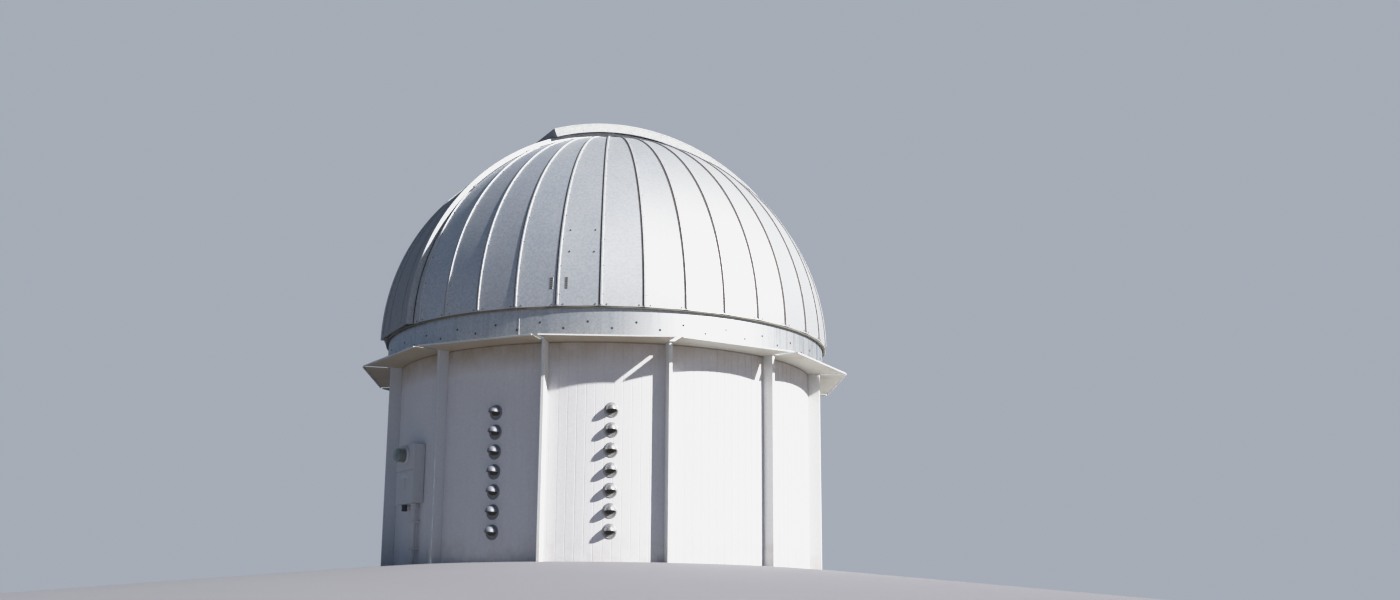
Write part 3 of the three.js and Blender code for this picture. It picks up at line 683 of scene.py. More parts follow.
def dusty(name, colour, roughness, metallic, dust, scale, low, share):
    """One colour under a bloom of dust, where a noise runs from low to 0.3 more."""
    made = Finish(name, colour, roughness, metallic)
    made.blend(made.ranged(made.noise(scale, 4.0), low, low + 0.3, 0.0, share), dust)
    return made


def louvre_finish():
    """The louvre bars: black rubber with a dusty bloom."""
    return dusty("black rubber", (0.075, 0.065, 0.05), 0.75, 0.0, (0.11, 0.10, 0.085), 30.0, 0.5, 0.5)


def dial_finish():
    """The meter's works behind the glass: dark enamel with a paler dusty bloom."""
    return dusty("meter works", (0.06, 0.07, 0.065), 0.4, 0.2, (0.16, 0.18, 0.165), 22.0, 0.45, 0.6)


def glass_finish():
    """The meter's clear cover, faintly green."""
    made = Finish("meter glass", (0.75, 0.82, 0.78), 0.06)
    made.shader.inputs["Transmission Weight"].default_value = 0.85
    made.shader.inputs["IOR"].default_value = 1.46
    made.rough(made.ranged(made.noise(14.0, 4.0), 0.4, 0.7, 0.04, 0.2))
    return made


def screen_finish():
    """Insect screen behind a vent's mouth: very dark brown, which paints the shade deep in the duct, with
    fine paler wires.
    """
    made = Finish("insect screen", (0.08, 0.07, 0.055), 0.8)
    mesh = made.node("ShaderNodeTexBrick", {
        "Vector": made.coordinates, "Scale": 60.0, "Color1": (0.070, 0.060, 0.046, 1.0),
        "Color2": (0.080, 0.070, 0.054, 1.0), "Mortar": (0.13, 0.12, 0.10, 1.0), "Mortar Size": 0.03,
    }, offset=0.0)
    made.paint(mesh.outputs["Color"])
    return made


def steel_finish():
    """Dark oiled steel with rust freckles."""
    made = Finish("dark steel", sizes().finish.steel, 0.5, 0.8)
    freckles = made.ranged(made.noise(18.0, 6.0, 0.65), 0.55, 0.72)
    made.blend(freckles, (0.16, 0.065, 0.03))
    made.rough(made.ranged(freckles, 0.0, 1.0, 0.42, 0.75))
    made.bump(made.noise(80.0, 4.0), 0.15, 0.001)
    return made


# Each finish, with the material slot of the pieces that wear it
FINISHES = {
    "skin": (skin_finish, "galvanised_sheet"),
    "rib": (rib_finish, "galvanised_sheet"),
    # painted highlight: the pale strips on the ribs' right flanks
    "edge": (highlight_strip_finish, "galvanised_sheet"),
    "drum": (drum_finish, "galvanised_sheet"),
    "hood": (hood_finish, "galvanised_sheet"),
    # painted shade: the darker copy of the vent metal
    "shaded hood": (shaded_hood_finish, "galvanised_sheet"),
    "shutter": (shutter_finish, "shutter_metal"),
    "curb": (curb_finish, "shutter_metal"),
    "wall": (wall_finish, "wall_paint"),
    "trim": (trim_finish, "trim_paint"),
    "soffit": (soffit_finish, "soffit_paint"),
    "cabinet": (cabinet_finish, "cabinet_paint"),
    "door": (door_finish, "door_paint"),
    "glass": (glass_finish, "meter_glass"),
    "dial": (dial_finish, "meter_glass"),
    "steel": (steel_finish, "dark_steel"),
    "seal": (seal_finish, "dark_steel"),
    # dark beads beside the ribs: painted shadow
    "shadow_bead": (shadow_bead_finish, "dark_steel"),
    "louvre": (louvre_finish, "dark_steel"),
    "fastener": (fastener_finish, "dark_steel"),
    "lining": (lining_finish, "dark_steel"),
    "sill": (sill_finish, "dark_steel"),
    "screen": (screen_finish, "dark_steel"),
}
made_finishes = {}


def material(name):
    """The material of a finish, made when it is first asked for."""
    if name not in made_finishes:
        made_finishes[name] = FINISHES[name][0]().material
    return made_finishes[name]


# Round wall

WALL_NODES = {0: "vented_wall_right", 11: "vented_wall_left"}
DOOR_BAY = 6
GROOVE_ANGLE = 8.0
BOARD_TONES = 400
INSIDE_STEPS = 12


def fin_azimuth(bay):
    """Azimuth of the fin at the start of a bay; half a bay further on is the bay's middle."""
    wall = sizes().wall
    return wall.first_fin + bay * 2.0 * math.pi / wall.bays


def siding(start, stop, low, high, inside=None):
    """A stretch of wall: its plan outline is an outer arc with a lopsided V groove at every board joint and a
    plain inner arc, carried straight up."""
    wall = sizes().wall
    half = wall.groove_width / 2.0 / wall.outer
    first = math.ceil((start + 2.0 * half - wall.first_groove) / wall.board)
    last = math.floor((stop - 2.0 * half - wall.first_groove) / wall.board)
    joints = wall.first_groove + wall.board * np.arange(first, last + 1)
    shape = np.array([-half, half * (2.0 * wall.groove_lean - 1.0), half, wall.board / 2.0])
    depth = np.array([0.0, wall.groove_depth, 0.0, 0.0])
    azimuth = (joints[:, None] + shape).ravel()
    azimuth = azimuth[azimuth < stop - half]
    radius = wall.outer - np.tile(depth, len(joints))[:len(azimuth)]
    tones = np.random.default_rng(RANDOM_SEED).uniform(-1.0, 1.0, BOARD_TONES)
    board = np.floor((azimuth - wall.first_groove) / wall.board).astype(int) % BOARD_TONES
    inner_start, inner_stop = inside or (start, stop)
    inner = np.linspace(inner_stop, inner_start, INSIDE_STEPS + 1)
    azimuth = np.concatenate([[start], azimuth, [stop], inner])
    radius = np.concatenate([[wall.outer], radius, [wall.outer], np.full(len(inner), wall.inner)])
    tone = np.concatenate([[0.0], tones[board], [0.0], np.zeros(len(inner))])
    return tube(place(azimuth, radius, np.array([[low], [high]])), tone=np.tile(tone, 2))


def build_wall():
    """Siding on every bay but the door's, which has a strip on either side of the doorway and one over it."""
    wall, door = sizes().wall, sizes().door
    top = wall.top + wall.soffit_rise
    for bay in range(wall.bays):
        if bay != DOOR_BAY:
            node = WALL_NODES.get(bay, f"wall_bay_{bay + 1:02d}")
            stretch = siding(fin_azimuth(bay), fin_azimuth(bay + 1), 0.0, top)
            put(f"siding_{node}", [stretch], "wall", "building", node, sharp=GROOVE_ANGLE)
    rough = door.half_width + door.frame
    outer, inner = math.asin(rough / wall.outer), math.asin(rough / wall.inner)
    start, stop = fin_azimuth(DOOR_BAY), fin_azimuth(DOOR_BAY + 1)
    right, left = math.pi - outer, math.pi + outer
    inner_right, inner_left = math.pi - inner, math.pi + inner
    stretches = {
        "beside_door_right": siding(start, right, 0.0, top, (start, inner_right)),
        "beside_door_left": siding(left, stop, 0.0, top, (inner_left, stop)),
        "over_door": siding(right, left, door.height + door.frame, top, (inner_right, inner_left)),
    }
    for name, stretch in stretches.items():
        put(f"siding_{name}", [stretch], "wall", "building", f"wall_{name}", sharp=GROOVE_ANGLE)


# Fins, eave and drum

QUARTERS = {"front": -1, "right": 2, "back": 5, "left": 8}
FIN_SEAT = 0.010
RING_BEAM_STEPS = 36


def build_fins():
    """Twelve posts with chamfered edges, and the ring beam that they carry."""
    wall = sizes().wall
    foot = wall.top + wall.eave_thickness + GAP
    half = wall.fin_width / 2.0
    depth = (wall.outer + GAP, wall.fin_outer - GAP)
    beam = oblong(wall.beam_inner, wall.fin_outer, foot, wall.beam_top, 0.004)
    for name, first in QUARTERS.items():
        fins = [block(fin_azimuth(first + i), depth, (-half, half), (0.0, foot + FIN_SEAT), 0.003)
                for i in range(3)]
        start = fin_azimuth(first - 0.5)
        ring = turned(beam, start, start + math.pi / 2.0, RING_BEAM_STEPS)
        put(f"fins_{name}", fins, "trim", "building", f"fin_frame_{name}")
        put(f"ring_beam_{name}", [ring], "trim", "building", f"fin_frame_{name}")


def eave_corner(apothem):
    """How far out along a fin's azimuth a slot's side meets a straight edge: (apothem - w sin h) / cos h,
    with w half of the slot's width and h half of a bay's angle."""
    wall = sizes().wall
    half = math.pi / wall.bays
    return (apothem - wall.eave_slot / 2.0 * math.sin(half)) / math.cos(half)


def eave_plate(bay):
    """One plate over a bay: straight outer edge, a notch for half of each fin, half a slot beyond each fin,
    and an arc along the wall's inside."""
    wall = sizes().wall
    start, stop = fin_azimuth(bay), fin_azimuth(bay + 1)
    notch, slot = wall.fin_width / 2.0 + GAP, wall.eave_slot / 2.0
    corner = eave_corner(wall.eave_apothem - wall.edging - GAP)
    along = np.array([wall.outer, wall.outer, wall.fin_outer, wall.fin_outer, corner])
    across = np.array([0.0002, notch, notch, slot, slot])
    points = np.concatenate([
        place(start, along, 0.0, across),
        place(stop, along[::-1], 0.0, -across[::-1]),
        place(np.linspace(stop, start, INSIDE_STEPS + 1), wall.inner, 0.0),
    ])
    points = np.stack([points, points])
    points[0, :, 2] = wall.top + wall.soffit_rise + GAP
    points[1, :, 2] = wall.top + wall.eave_thickness
    return tube(points)


def eave_edging(bay):
    """White strip along a plate's straight edge, which hangs below the soffit."""
    wall = sizes().wall
    half = math.pi / wall.bays
    corner, end_gap = eave_corner(wall.eave_apothem), 0.003
    reach = corner * math.sin(half) - wall.eave_slot / 2.0 * math.cos(half) - end_gap
    depth = (wall.eave_apothem - wall.edging, wall.eave_apothem)
    height = (wall.top + GAP, wall.top + wall.eave_thickness)
    return block(fin_azimuth(bay + 0.5), depth, (-reach, reach), height, 0.0015)


def build_eave():
    """Three plates and their edgings to each quarter."""
    for name, first in QUARTERS.items():
        for piece, finish, shape in (("plates", "soffit", eave_plate), ("edging", "trim", eave_edging)):
            bodies = [shape(first + i) for i in range(3)]
            put(f"eave_{piece}_{name}", bodies, finish, "building", f"eave_{name}")


SCREW = [(0.013, -0.001), (0.013, 0.001), (0.009, 0.0025), (0.003, 0.0035)]
SCREW_ROWS = ((-4.6, 2.575), (1.0, 2.505))
SCREW_PITCH = 11.25
SCREWS_IN_ROW = 16
DRUM_STEPS = 90


def build_drum():
    """Two sheets with a rolled lower hem, a bead over their joint, and a zigzag of screws round the drum."""
    wall = sizes().wall
    low, top = wall.top + wall.eave_thickness + GAP, wall.drum_top
    outer, inner = wall.drum_outer, wall.drum_outer - wall.drum_sheet
    face = outer - 0.003
    section = [(inner, low), (outer, low), (outer, low + 0.010), (outer - 0.001, low + 0.014),
               (face, low + 0.016), (face, top - 0.012), (outer - 0.001, top - 0.010), (outer, top - 0.007),
               (outer, top - 0.001), (outer - 0.001, top), (inner, top)]
    pitch = math.radians(SCREW_PITCH)
    for half, name in enumerate(("front_right", "back_left")):
        start = wall.drum_joint + half * math.pi
        sheet = turned(section, start, start + math.pi, DRUM_STEPS)
        bead = block(start, (face - 0.002, face + 0.004), (-0.004, 0.004), (low + 0.017, top - 0.013), 0.0015)
        rows = []
        for degrees, height in SCREW_ROWS:
            first = math.radians(degrees)
            index = math.ceil((start - first) / pitch) + np.arange(SCREWS_IN_ROW)
            rows.append(place(first + index * pitch, face, height))
        centres = np.concatenate(rows)
        screws = studs(centres, centres * [1.0, 1.0, 0.0], SCREW, 12)
        put(f"drum_sheet_{name}", [sheet], "drum", "building", f"drum_{name}")
        put(f"drum_bead_{name}", [bead], "rib", "building", f"drum_{name}")
        put(f"drum_screws_{name}", screws, "fastener", "building")


# Dome skin

SECTORS = {
    "left": (-6, 0), "front": (0, 5), "right": (5, 12), "back_right": (12, 18), "back": (18, 23),
    "back_left": (23, 30),
}
GORE_ROWS = 44
GORE_COLUMNS = 8
NARROWEST_SHARE = 0.01
CURB_MARGIN = 1.002
RIB_STATIONS = 60
RIB_ROOT = -0.006
RIB_OVER_LIP = 0.014
# width of the dark beads of painted shadow beside the ribs, and their extra width on the key light's side
SHADOW_BEAD_WIDTH = 0.015
SHADOW_BEAD_SUN_EXTRA = 0.009


def seam(index):
    """Azimuth of a seam."""
    dome = sizes().dome
    return dome.first_seam + index * 2.0 * math.pi / dome.gores


def share_limits(first, last, limit):
    """Ends of the stretch of t, from 0 to 1, on which |first (1-t) + last t| is at least limit."""
    ends = [0.0, 1.0]
    if abs(first) < limit:
        ends[0] = (math.copysign(limit, last) - first) / (last - first)
    if abs(last) < limit:
        ends[1] = (math.copysign(limit, first) - first) / (last - first)
    return ends if max(abs(first), abs(last)) > limit else None


def skin_rise(radius, side_sine):
    """Elevations from the lip up to the slit: the lip's height over the centre is radius sin(e), and at the
    curb's face the offset radius cos(e) |side_sine| is the curb's."""
    dome, slit = sizes().dome, sizes().slit
    low = math.asin((dome.lip - dome.centre) / radius)
    top = np.arccos(np.clip((slit.outer + GAP) / (radius * np.abs(side_sine)), 0.0, 1.0))
    return low, np.maximum(top, low + 0.0002)


def gore(index, from_share, to_share, waves):
    """One gore, flat across between its seams. At share t and elevation e a point is
    (1-t) seam0(e) + t seam1(e), moved out by a slight bulge that dies away at the seams."""
    dome, slit = sizes().dome, sizes().slit
    ends = seam(index), seam(index + 1)
    sines = [math.sin(a - slit.azimuth) for a in ends]
    lip_cosine = math.cos(math.asin((dome.lip - dome.centre) / dome.radius))
    limits = share_limits(*sines, CURB_MARGIN * slit.outer / (dome.radius * lip_cosine))
    if limits is None:
        return []
    low, high = max(from_share, limits[0]), min(to_share, limits[1])
    if high - low < NARROWEST_SHARE:
        return []
    share = np.linspace(low, high, GORE_COLUMNS + 1)
    side_sine = (1.0 - share) * sines[0] + share * sines[1]
    step = np.linspace(0.0, 1.0, GORE_ROWS + 1)[:, None]
    phase, rate, fine_phase, fine_rate, tone = waves

    def face(radius, bulge):
        bottom, top = skin_rise(radius, side_sine)
        rise = bottom + (top - bottom) * step
        first, last = (on_sphere(a, radius, rise) for a in ends)
        flat = (1.0 - share)[:, None] * first + share[:, None] * last
        wave = np.sin(phase + rate * rise) + 0.6 * np.sin(fine_phase + fine_rate * rise)
        swell = bulge * np.sin(np.pi * share) * wave * np.sin(np.pi * np.clip(step * 1.02, 0, 1)) ** 0.5
        out = place((ends[0] + ends[1]) / 2.0, np.cos(rise), np.sin(rise))
        return flat + out * swell[..., None]

    outer, inner = face(dome.radius, dome.bulge), face(dome.radius - dome.sheet, 0.0)
    shape = outer.shape[:2]
    return [slab(outer, inner, across=np.broadcast_to(share, shape), tone=np.full(shape, tone))]


def up_the_seam(index, corners):
    """An outline of (side, height) corners carried up the meridian. Each corner stops where its own offset
    from the slit's middle reaches the curb's face."""
    dome, slit = sizes().dome, sizes().slit
    azimuth = seam(index)
    turn = azimuth - slit.azimuth
    if dome.radius * abs(math.sin(turn)) < slit.outer + 1.5 * dome.rib_width:
        return []
    side, height = np.array(corners).T
    radius = dome.radius + height
    curb_face = math.copysign(slit.outer + GAP, math.sin(turn))
    top = np.arccos(np.clip((curb_face - side * math.cos(turn)) / (radius * math.sin(turn)), -1.0, 1.0))
    low = np.arcsin((dome.lip + RIB_OVER_LIP - dome.centre) / radius)
    rise = low + (top - low) * np.linspace(0.0, 1.0, RIB_STATIONS)[:, None]
    return [tube(on_sphere(azimuth, radius, rise, side))]


def rib(index):
    """The cap over a seam: a chamfered outline."""
    half, top, chamfer = sizes().dome.rib_width / 2.0, sizes().dome.rib_height, 0.002
    return up_the_seam(index, [
        (-half, RIB_ROOT), (-half, top - chamfer), (chamfer - half, top), (half - chamfer, top),
        (half, top - chamfer), (half, RIB_ROOT),
    ])


def rib_highlight_strip(index):
    """A thin strip along the right flank of a rib, in a paler finish: a painted highlight of the flank that
    catches the key light.
    """
    foot, top = sizes().dome.rib_width / 2.0, sizes().dome.rib_height
    inner, outer = foot - 0.0005, foot + 0.0006
    corners = [(inner, RIB_ROOT), (inner, top - 0.0025), (outer, top - 0.0035), (outer, RIB_ROOT)]
    return up_the_seam(index, corners)


def shadow_bead(index):
    """A flat dark bead along the left foot of a rib: a painted shadow line beside the rib, wider on the side
    towards the key light.
    """
    foot = -sizes().dome.rib_width / 2.0
    # weather is the share towards +X, the key light's side, where the painted shadow line is made wider
    weather = max(math.sin(seam(index)), 0.0)
    low, high = foot - SHADOW_BEAD_WIDTH - SHADOW_BEAD_SUN_EXTRA * weather, foot + 0.001
    return up_the_seam(index, [(low, RIB_ROOT), (low, 0.0), (high, 0.003), (high, RIB_ROOT)])


RIVET = [(0.005, -0.002), (0.005, 0.001), (0.004, 0.0025), (0.0015, 0.0033)]
LIP_BOLT = [(0.007, -0.002), (0.007, 0.002), (0.005, 0.0038), (0.002, 0.0045)]
GORE_BOLT = [(0.009, -0.002), (0.009, 0.001), (0.006, 0.0024), (0.002, 0.003)]
GORE_BOLTS = [(-9.6, 20.0), (-3.4, 20.0), (-9.4, 14.2), (-3.5, 14.1)]
RIVET_RISES = np.radians(3.6 + 6.9 * np.arange(12))
RIVET_FROM_RIB = 0.009
LIP_BOLT_RISE = math.radians(1.25)
LIP_BOLT_SIDES = (-0.062, 0.062)
CLEAR_OF_CURB = 0.05
SEAL_THICKNESS = 0.026
SEAL_STEPS = 144


def skin_studs(azimuth, rise, side, profile, sides, lift=0.0):
    """Heads on the skin, each beside its azimuth's meridian, left out near the slit."""
    dome, slit = sizes().dome, sizes().slit
    points = on_sphere(azimuth, dome.radius + lift, rise, side)
    normals = place(azimuth, np.cos(rise), np.sin(rise))
    from_slit = np.abs(points @ place(slit.azimuth, 0.0, 0.0, 1.0))
    keep = from_slit > slit.outer + CLEAR_OF_CURB
    return studs(points[keep], normals[keep], profile, sides)


def build_skin():
    """Gores, ribs with their strips of painted highlight, dark beads of painted shadow beside them and heads
    in six sectors, and the seal under the lip.
    """
    dome = sizes().dome
    draw = np.random.default_rng(RANDOM_SEED)
    waves = np.stack([
        draw.uniform(0.0, 6.28, dome.gores), draw.uniform(5.0, 9.0, dome.gores),
        draw.uniform(0.0, 6.28, dome.gores), draw.uniform(12.0, 18.0, dome.gores),
        draw.uniform(-1.0, 1.0, dome.gores),
    ], axis=1)
    for name, (first, last) in SECTORS.items():
        node = f"dome_panels_{name}"
        gores = []
        for index in range(first, last + 1):
            shares = (0.5 if index == first else 0.0), (0.5 if index == last else 1.0)
            gores += gore(index, *shares, waves[index % dome.gores])
        seams = range(first + 1, last + 1)
        put(f"gores_{name}", gores, "skin", "dome", node)
        put(f"ribs_{name}", sum(map(rib, seams), []), "rib", "dome", node)
        # pale strips on the ribs' right flanks: painted highlight
        put(f"rib_highlight_strips_{name}", sum(map(rib_highlight_strip, seams), []), "edge", "dome", node)
        # dark beads beside the ribs: painted shadow
        put(f"seam_shadow_bead_{name}", sum(map(shadow_bead, seams), []), "shadow_bead", "dome")
        put(f"skin_rivets_{name}", seam_heads([seam(index) for index in seams]), "fastener", "dome")
    section = oblong(dome.seal_out - SEAL_THICKNESS, dome.seal_out, dome.lip - 0.019, dome.lip + 0.007, 0.002)
    put("lip_seal", [turned(section, 0.0, 2.0 * math.pi, SEAL_STEPS)], "seal", "dome")


def seam_heads(seams):
    """Rivets up the right side of every rib, and small bolts by its foot."""
    azimuth, rise = pairs(seams, RIVET_RISES)
    rivets = skin_studs(azimuth, rise, sizes().dome.rib_width / 2.0 + RIVET_FROM_RIB, RIVET, 8)
    azimuth, side = pairs(seams, LIP_BOLT_SIDES)
    return rivets + skin_studs(azimuth, LIP_BOLT_RISE, side, LIP_BOLT, 8, -0.002)


LOUVRES = np.radians([-13.2, -9.7])
LOUVRE_RISES = np.radians(np.linspace(5.1, 7.5, 6))
LOUVRE_EDGE_RISES = np.radians(np.linspace(4.9, 7.7, 9))[:, None]
LOUVRE_BAR = (0.012, 0.030, 0.013)
LOUVRE_SINK = 0.014


def build_louvres():
    """Four bolt heads on one gore, and a stack of short louvre bars on each side of a seam, one of them with
    a folded edge."""
    dome = sizes().dome
    azimuth, rise = np.radians(GORE_BOLTS).T
    put("gore_bolts", skin_studs(azimuth, rise, 0.0, GORE_BOLT, 10, -0.003), "fastener", "dome")
    depth, width, tall = LOUVRE_BAR
    bars = []
    for azimuth, rise in zip(*pairs(LOUVRES, LOUVRE_RISES)):
        back = dome.radius * math.cos(rise) - LOUVRE_SINK
        low = dome.centre + dome.radius * math.sin(rise) - tall / 2.0
        side = (-width / 2.0, width / 2.0)
        bars.append(block(azimuth, (back, back + depth), side, (low, low + tall), 0.001))
    put("louvre_bars", bars, "louvre", "dome")
    side, height = oblong(0.0155, 0.020, -0.017, -0.002, 0.001).T
    edge = tube(on_sphere(LOUVRES[0], dome.radius + height, LOUVRE_EDGE_RISES, side))
    put("louvre_edge", [edge], "rib", "dome")


# Slit: curbs, flashings, shutters and rear panel

SIDES = {"near": 1.0, "far": -1.0}
CURB_STEPS = 150
CLEAR_OF_RING = 2.722
CLIP_TURNS = (27.0, 42.0, 60.0, 78.0, 96.0, 114.0, 132.0, 150.0)
CLIP_HALF_TURN = 0.47
FLASHING_END = math.radians(39.5)
SHEET_STEPS = 90
MEETING_REPEATS = 12
STANDING_SEAMS = (-0.25, 0.25)
SEAM_HALF = 0.006
FRONT_LAPS = np.arange(14.0, 66.0, 12.0)
FRONT_RIVETS = np.radians(np.arange(4.0, 68.0, 4.0))
REAR_LAP_PITCH = 11.0


def curb_body(side):
    """The curb's section carried along the slit. Each corner's arch starts and ends at its own foot: at the
    lip, or over the base ring where it stands inside it."""
    dome, slit = sizes().dome, sizes().slit
    soft, ledge_reach, ledge_sheet = 0.003, 0.060, 0.010
    top, ledge, outer, inner = slit.top, slit.ledge, slit.outer, slit.inner
    section = np.array([
        (slit.bottom, outer), (slit.foot, outer), (top - soft, outer), (top, outer - soft),
        (top, inner + soft), (top - soft, inner), (ledge, inner), (ledge, inner - ledge_reach),
        (ledge - ledge_sheet, inner - ledge_reach), (ledge - ledge_sheet, inner), (slit.bottom, inner),
    ])
    foot = np.where(np.hypot(*section.T) > CLEAR_OF_RING, dome.lip, dome.ring_top + GAP)
    start = np.arcsin((foot - dome.centre) / section[:, 0])
    turn = start + (np.pi - 2.0 * start) * np.linspace(0.0, 1.0, CURB_STEPS + 1)[:, None]
    return tube(arch(turn, section[:, 0], side * section[:, 1]))


def skin_radius(turn, offset, lift):
    """In-plane radius r at which an arch at this offset meets the flat gores, found by repeating
    r = r R / sqrt((d / share)^2 + z^2): d is the level distance from the middle, z the height over the
    centre, and share how far out the flat gore lies at that azimuth against its seams."""
    dome, slit = sizes().dome, sizes().slit
    step = 2.0 * math.pi / dome.gores
    radius = dome.radius + lift
    guess = np.sqrt(radius ** 2 - offset ** 2)
    for _ in range(MEETING_REPEATS):
        x = guess * np.cos(turn)
        azimuth = slit.azimuth + np.arctan2(offset, x)
        within = (azimuth - dome.first_seam) % step - step / 2.0
        share = math.cos(step / 2.0) / np.cos(within)
        reach = np.sqrt(x ** 2 + offset ** 2) / share
        guess = guess * radius / np.sqrt(reach ** 2 + (guess * np.sin(turn)) ** 2)
    return guess


def skin_strip(side, offsets, lifts, start, stop):
    """A strip that lies on the skin along the curb: heights over the skin at a few offsets from the curb's
    face, carried along the slit."""
    turns = np.linspace(start, stop, CURB_STEPS + 1)
    turn, offset = np.meshgrid(turns, side * (sizes().slit.outer + np.array(offsets)), indexing="ij")
    faces = [arch(turn, skin_radius(turn, offset, lift), offset) for lift in (np.array(lifts), -0.004)]
    return slab(*faces)


def build_curbs():
    """Curbs with a dark strip along their foot, clips over it, and a flashing beside their lower ends."""
    slit, dome = sizes().slit, sizes().dome
    start = math.asin((dome.lip - dome.centre) / dome.radius) + 0.001
    end = math.pi - start
    low, high, outer = slit.foot - 0.012, slit.foot + 0.016, slit.outer
    clip = [(low, outer - 0.006), (high, outer - 0.006), (high, outer + 0.006), (low, outer + 0.016)]
    clip = cut_corners(clip, 0.0015)
    for name, side in SIDES.items():
        # a dark strip along the curb's foot
        dark_strip = skin_strip(side, [0.0005, 0.001, 0.005, 0.006], [0.006, 0.007, 0.005, 0.002], start, end)
        flashings = [skin_strip(side, [0.033, 0.0335, 0.0365, 0.037], [0.002, 0.004, 0.004, 0.001], *span)
                     for span in ((start, FLASHING_END), (math.pi - FLASHING_END, end))]
        clips = [arched(clip * [1.0, side], turn - CLIP_HALF_TURN, turn + CLIP_HALF_TURN, 1)
                 for turn in CLIP_TURNS]
        put(f"curb_{name}", [curb_body(side)], "curb", "dome", f"slit_curb_{name}")
        put(f"curb_dark_strip_{name}", [dark_strip], "fastener", "dome")
        put(f"curb_flashing_{name}", flashings, "rib", "dome")
        put(f"curb_clips_{name}", clips, "shutter", "dome")


def channel(top, skirt, half, thickness):
    """Section of a sheet with both edges turned down, its outer corners rounded."""
    soft, cut = 0.004, 0.0012
    inside, under = half - thickness, top - thickness
    right = [(top, half - soft), (top - cut, half - cut), (top - soft, half), (skirt, half), (skirt, inside),
             (under, inside)]
    left = [(radius, -offset) for radius, offset in reversed(right)]
    return left[2:] + right + left[:2]


def bars_across(low, high, half, turns, width, steps=1, chamfer=0.0015):
    """Bars across the slit, each from one angle to a width beyond it."""
    return [arched(oblong(low, high, -half, half, chamfer), t, t + width, steps) for t in turns]


def build_front_shutter():
    """Sheet between the curbs: laps across it, two standing seams along it and a stiff bar at both ends."""
    slit = sizes().slit
    top, half = slit.front_top, slit.front_half
    start, end = math.degrees(slit.front_start), math.degrees(slit.front_end)
    bodies = [arched(channel(top, slit.ledge + 0.0015, half, 0.010), start, end, SHEET_STEPS)]
    bodies += [arched(oblong(top - 0.002, top + 0.007, u - SEAM_HALF, u + SEAM_HALF), start + 1.1, end - 0.7,
                      SHEET_STEPS) for u in STANDING_SEAMS]
    bodies += bars_across(top - 0.002, top + 0.002, half - 0.006, FRONT_LAPS, 1.0, 2, 0.0008)
    bodies += bars_across(top - 0.004, top + 0.008, half - 0.003, (start + 0.05, end - 0.65), 0.6)
    put("front_shutter_sheet", bodies, "shutter", "front_shutter", "front_shutter")
    turn, offset = pairs(FRONT_RIVETS, [0.03 - half, half - 0.03])
    centres = arch(turn, top, offset)
    normals = arch(turn, top + 1.0, offset) - centres
    put("front_shutter_rivets", studs(centres, normals, RIVET, 8), "fastener", "front_shutter")


RUNNER_TURNS = (85.0, 120.0)
SIDE_RIVET_PITCH = 6.8


def build_upper_shutter():
    """Smooth skin over the curbs with a flat lap at both ends, side sheets with a rolled hem, end plates and
    runners."""
    slit = sizes().slit
    half, top, low = slit.upper_half, slit.upper_top, slit.upper_skirt
    start, end = math.degrees(slit.upper_start), math.degrees(slit.upper_end)
    face, under = top - 0.002, top - 0.016
    curve = [(under, half), (face - 0.004, half), (face - 0.001, half - 0.001), (face, half - 0.004)]
    skin = [arched([(r, -u) for r, u in curve] + curve[::-1], start, end, SHEET_STEPS)]
    skin += bars_across(face - 0.002, top, half - 0.004, (start, end - 0.6), 0.6, chamfer=0.0008)
    skin += bars_across(slit.top + 0.009, under + 0.002, half - 0.0163, (start, end - 0.35), 0.35)
    runner = (slit.top + GAP) / math.cos(math.radians(1.0))
    skin += [arched(oblong(runner, under + 0.002, side * (slit.inner + 0.010), side * (slit.outer - 0.010)),
                    turn - 1.0, turn + 1.0, 4) for turn in RUNNER_TURNS for side in SIDES.values()]
    put("upper_shutter_skin", skin, "shutter", "upper_shutter", "upper_shutter")
    inner, seat = half - 0.016, under - GAP
    section = np.array([
        (low + 0.002, inner), (low, inner + 0.003), (low, half - 0.003), (low + 0.003, half),
        (low + 0.010, half), (low + 0.012, half - 0.002), (seat, half - 0.002), (seat, inner),
    ])
    turns = np.radians(np.arange(start + 1.0, end, SIDE_RIVET_PITCH))
    for name, side in SIDES.items():
        sheet = arched(section * [1.0, side], start, end, SHEET_STEPS)
        centres = arch(turns, low + 0.026, side * (half - 0.003))
        rivets = studs(centres, place(slit.azimuth, 0.0, 0.0, side), RIVET, 8)
        put(f"upper_shutter_sheet_{name}", [sheet], "shutter", "upper_shutter", f"upper_shutter_side_{name}")
        put(f"upper_shutter_rivets_{name}", rivets, "fastener", "upper_shutter")


def build_rear_panel():
    """Fixed sheet between the curbs behind the slit, with flat laps across it."""
    slit = sizes().slit
    top, half = slit.rear_top, slit.rear_half
    start, end = math.degrees(slit.rear_start), math.degrees(slit.rear_end)
    laps = np.arange(start + REAR_LAP_PITCH, end - 4.0, REAR_LAP_PITCH)
    bodies = [arched(channel(top - 0.0012, slit.ledge + 0.0015, half, 0.0098), start, end, SHEET_STEPS)]
    bodies += bars_across(top - 0.003, top, half - 0.004, laps, 1.0, 2, 0.0005)
    put("rear_panel_sheet", bodies, "skin", "dome", "rear_panel")


# Vents

# the left column wears the darker copy of the vent metal: painted shade
VENT_COLUMNS = {"right": (1.3, "hood"), "left": (-28.3, "shaded hood")}
# the dark linings and screens are painted shade inside the vents
DUCT_FINISHES = {"linings": "lining", "joints": "seal", "sills": "sill", "screens": "screen"}
POLE_STEPS = np.radians(np.linspace(3.0, 177.0, 27))
HOOD_ROWS = np.linspace(0.0, 1.0, 15)[:, None]
AROUND_VENT = np.linspace(0.0, 2.0 * np.pi, 32, endpoint=False)[:, None]
INTO_WALL = -0.006


